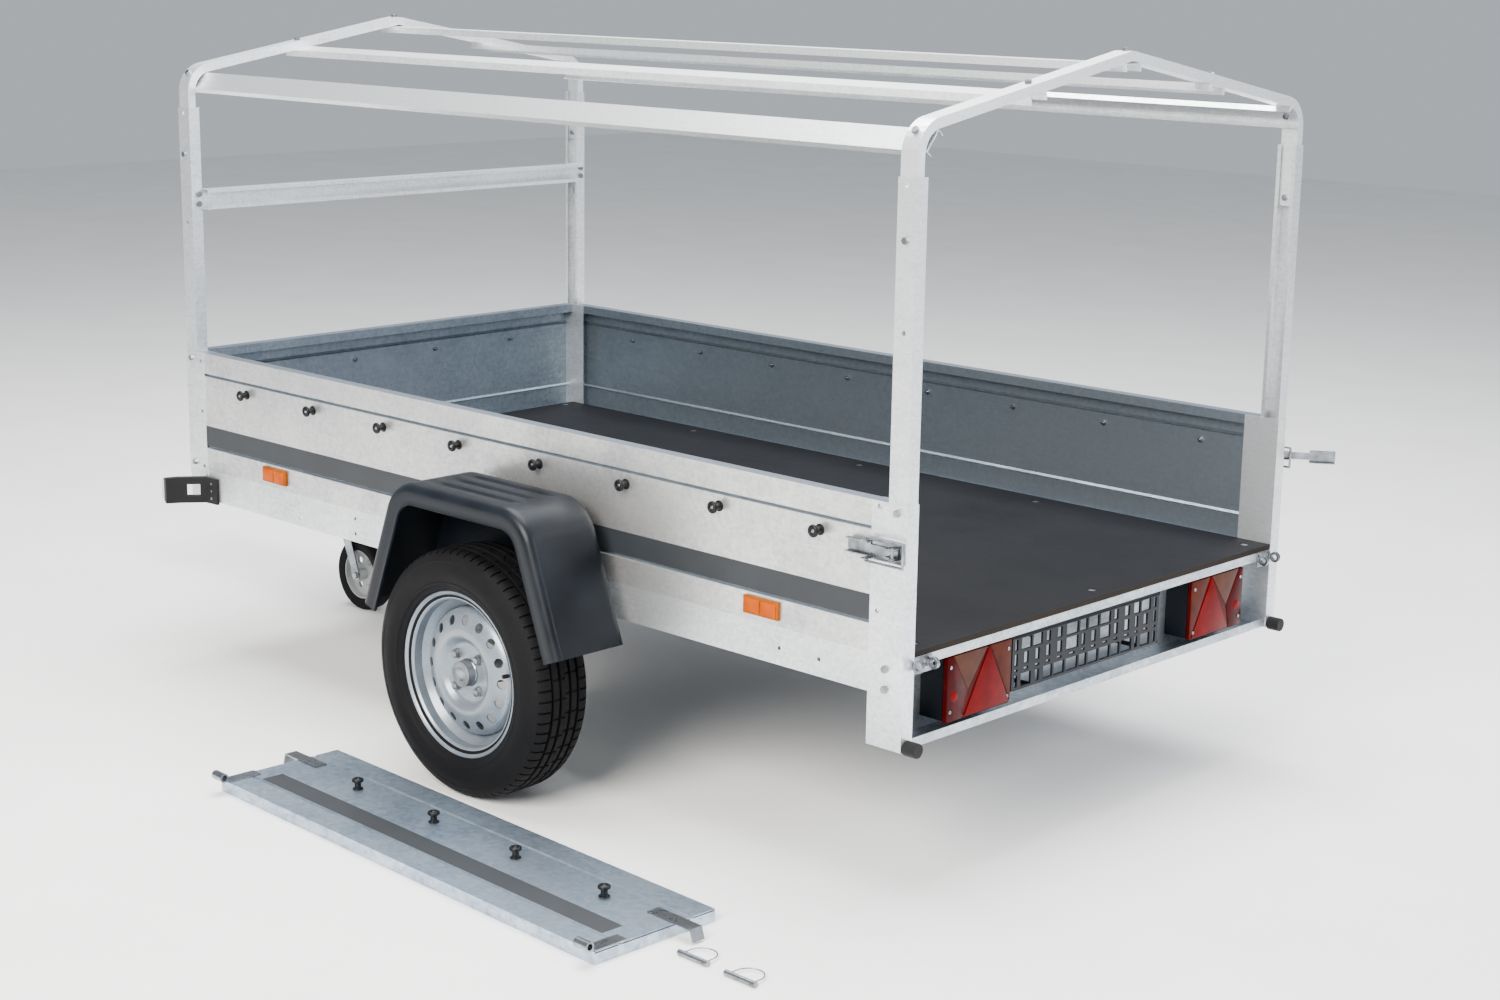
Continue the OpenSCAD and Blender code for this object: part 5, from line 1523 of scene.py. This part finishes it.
@dataclass
class Tailgate:
    """The tailgate that lies on the ground, with its hinge tubes, straps and knobs."""

    workshop: Workshop

    def fittings(self) -> None:
        """Builds the plated fittings and, apart from them, the black knobs."""
        shop = self.workshop
        knobs, screws = bmesh.new(), bmesh.new()
        metal = shop.merged("tailgate_fittings")
        for low, high in islands("tailgate_fittings"):
            size = high - low
            if max(size.x, size.y) > 0.03:
                continue
            gone = [vert for vert in metal.verts
                    if all(low[i] - 1e-4 < vert.co[i] < high[i] + 1e-4 for i in range(3))]
            bmesh.ops.delete(metal, geom=gone, context="VERTS")
            a, b = (low - shop.zero) / MM, (high - shop.zero) / MM
            spot = Vector(((a.x + b.x) / 2, (a.y + b.y) / 2, b.z - 24))
            SideTrim(shop).knob(knobs, spot, Vector((0, 0, 1)))
            turned(screws, [(4.4, 20), (4.4, 21.6), (3.4, 22.6), (0.01, 23)], spot,
                   Vector((0, 0, 1)), 18)
        made = shop.piece("tailgate_hinges_and_straps", metal, "tailgate", "bright_zinc_plate",
                          "zinc_plated_steel", ["tailgate_fittings"], in_frame=True)
        ease(made, 0.6)
        shop.piece("tailgate_knobs", knobs, "tailgate", "gloss_black_nylon",
                   "black_polypropylene")
        shop.piece("tailgate_knob_screws", screws, "tailgate", "bright_zinc_plate",
                   "zinc_plated_steel")

    def build(self) -> None:
        """Dresses the tailgate and its lock pins."""
        shop = self.workshop
        shop.dress("galvanised_tailgate_sheet", "tailgate_panel")
        self.fittings()
        for place in ("front", "rear"):
            shop.soften(f"lock_pin_{place}", f"pin_{place}", "bright_zinc_plate",
                        "zinc_plated_steel", 0.9)
            shop.dress("bright_zinc_plate", f"pin_ring_{place}")


# -------------------------------------------------------------------- studio
@dataclass
class Studio:
    """Pale floor, soft lights and the camera."""

    workshop: Workshop
    eye: tuple[float, float, float] = (-3820.4, 3982.4, 1782.4)
    yaw: float = -46.3
    pitch: float = -12.87
    roll: float = 0.89
    lens: float = 57.23

    def floor(self) -> None:
        """Lays a wide pale floor under the wheels."""
        bm = bmesh.new()
        bmesh.ops.create_grid(bm, x_segments=2, y_segments=2, size=14000)
        bmesh.ops.transform(bm, matrix=self.workshop.into_frame, verts=bm.verts)
        mesh = bpy.data.meshes.new("studio_floor")
        bm.to_mesh(mesh)
        bm.free()
        mesh.materials.append(self.workshop.finishes["pale_concrete"])
        made = bpy.data.objects.new("studio_floor", mesh)
        bpy.context.scene.collection.objects.link(made)

    def camera(self) -> None:
        """Sets the camera at its viewing angle."""
        yaw, pitch, roll = (math.radians(v) for v in (self.yaw, self.pitch, self.roll))
        ahead = Vector((math.cos(pitch) * math.cos(yaw), math.cos(pitch) * math.sin(yaw),
                        math.sin(pitch)))
        right = Vector((math.sin(yaw), -math.cos(yaw), 0))
        up = right.cross(ahead)
        across = right * math.cos(roll) + up * math.sin(roll)
        upright = up * math.cos(roll) - right * math.sin(roll)
        data = bpy.data.cameras.new("camera")
        data.lens = self.lens
        data.sensor_width = 36.0
        data.clip_end = 100
        camera = bpy.data.objects.new("camera", data)
        turn = Matrix((across, upright, -ahead)).transposed().to_4x4()
        place = self.workshop.into_frame @ Vector(self.eye)
        camera.matrix_world = Matrix.Translation(place) @ turn
        bpy.context.scene.collection.objects.link(camera)
        bpy.context.scene.camera = camera

    def light(self, name: str, spot: tuple[float, float, float], size: float,
              power: float, colour: str) -> None:
        """Adds a softbox that faces the trailer.

        Args:
            name: The light's name.
            spot: Its place in the trailer's axes, in millimetres.
            size: Its width in metres.
            power: Its power in watts.
            colour: Its hex colour.
        """
        data = bpy.data.lights.new(name, "AREA")
        data.shape = "DISK"
        data.size = size
        data.energy = power
        data.color = linear(colour)[:3]
        lamp = bpy.data.objects.new(name, data)
        place = self.workshop.into_frame @ Vector(spot)
        aim = self.workshop.into_frame @ Vector((200, 0, 600))
        lamp.matrix_world = (Matrix.Translation(place)
                             @ (aim - place).to_track_quat("-Z", "Y").to_matrix().to_4x4())
        bpy.context.scene.collection.objects.link(lamp)

    def build(self) -> None:
        """Sets up the studio."""
        self.floor()
        self.camera()
        world = bpy.data.worlds.new("studio air")
        world.use_nodes = True
        air = world.node_tree.nodes["Background"]
        air.inputs["Color"].default_value = linear("#e4ebf3")
        air.inputs["Strength"].default_value = 0.62
        bpy.context.scene.world = world
        self.light("key softbox", (-1500, 5200, 3600), 3.5, 900, "#fffaf2")
        self.light("top softbox", (600, -400, 5200), 5.0, 900, "#ffffff")
        self.light("rear softbox", (-5200, -1200, 2600), 3.0, 300, "#f2f6ff")


def finishes(shop: Workshop) -> list[Finish]:
    """Lists every finish of the trailer.

    Args:
        shop: The workshop, which knows where the sheets lie.

    Returns:
        The finishes.
    """
    zero = shop.zero
    side_low, _ = node_box("side_panels")
    side = Stripe(along=(zero.x - 0.967, zero.x + 1.262),
                  across=(side_low.z + 0.0625, side_low.z + 0.114),
                  across_axis="Z", face_axis="Y", face_from=0.6556)
    turn = math.radians(-1.9)
    gate = Stripe(along=(0.055, 1.182), across=(-0.118, -0.066), across_axis="Y",
                  face_axis="Z", face_from=0.0245)
    corner = zero + Vector((-857.0, 656.5 + 613.0, 0.0)) * MM
    return [
        # The side sheet's inner tint paints shade on the faces inside the bed
        Galvanised("galvanised_side_sheet", "#dcdcda", "#b4b7b9", 9, 0.38, side,
                   inner="#a9b4c0"),
        Galvanised("galvanised_tailgate_sheet", "#b3c1cf", "#76879a", 12, 0.34, gate,
                   tuple(corner), turn),
        # The front panel's darker, bluer zinc is painted shade for its face inside the bed
        Galvanised("galvanised_bed_sheet", "#8f9ba6", "#6c7781", 9, 0.4),
        Galvanised("galvanised_sheet_steel", "#c2c8cc", "#959da4", 9, 0.4),
        Galvanised("galvanised_section_steel", "#ebedef", "#c6cbcf", 7, 0.38),
        Galvanised("galvanised_rail_steel", "#f4f5f6", "#d5d9dc", 8, 0.4),
        Galvanised("batch_galvanised_steel", "#a9adb0", "#7b8085", 14, 0.55),
        Plated("bright_zinc_plate"),
        Cast("sand_cast_iron"),
        Cast("zinc_coated_casting", "#b4b7b9", "#8c8f92"),
        FilmFacedPlywood("film_faced_plywood"),
        Moulded("grained_black_polypropylene", "#0b0e13", "#12171e", 0.36, 1.4, 0.1),
        Moulded("black_moulded_rubber", "#0e0e0f", "#171718", 0.62, 1.0, 0.06, 0.05),
        Moulded("gloss_black_nylon", "#0e0f10", "#19191b", 0.3, 1.0, 0.03),
        Moulded("grey_moulded_nylon", "#8b8e91", "#a4a6a8", 0.5, 1.2, 0.05),
        Moulded("black_powder_coat", "#121314", "#1e1f20", 0.4, 0.8, 0.05),
        Enamel("silver_stoving_enamel"),
        TyreRubber("vulcanised_tyre_rubber"),
        PrismLens("bright_red_acrylic", "#720104", "#420102", 4.0, 0.25),
        PrismLens("dark_red_acrylic", "#4c0406", "#260203", 5.0, 0.25),
        PrismLens("smoked_acrylic", "#5a2a20", "#30140f", 3.0, 0.3),
        PrismLens("amber_acrylic", "#573428", "#35201a", 3.0, 0.3),
        PrismLens("clear_acrylic", "#dadde0", "#9fa4a8", 3.0),
        PrismLens("amber_acrylic_body", "#a85606", "#6e3202", 6.0, 0.25),
        PrismLens("amber_acrylic_prisms", "#c05404", "#7a2e02", 2.5, 0.2),
        Concrete("pale_concrete"),
    ]


def main() -> None:
    """Builds the trailer's looks in order."""
    logging.basicConfig(level=logging.INFO, format="%(name)s: %(message)s")
    shop = Workshop()
    shop.stock(*finishes(shop))
    Studio(shop).build()
    Bodywork(shop).build()
    for side in Side:
        RoadWheel(shop, side).build()
        Fender(shop, side).build()
        RearLamp(shop, side).build()
        PositionLamp(shop, side).build()
    PlateHolder(shop).build()
    SideTrim(shop).build()
    Latches(shop).build()
    Coupling(shop).build()
    Tailgate(shop).build()


if __name__ == "__main__":
    main()
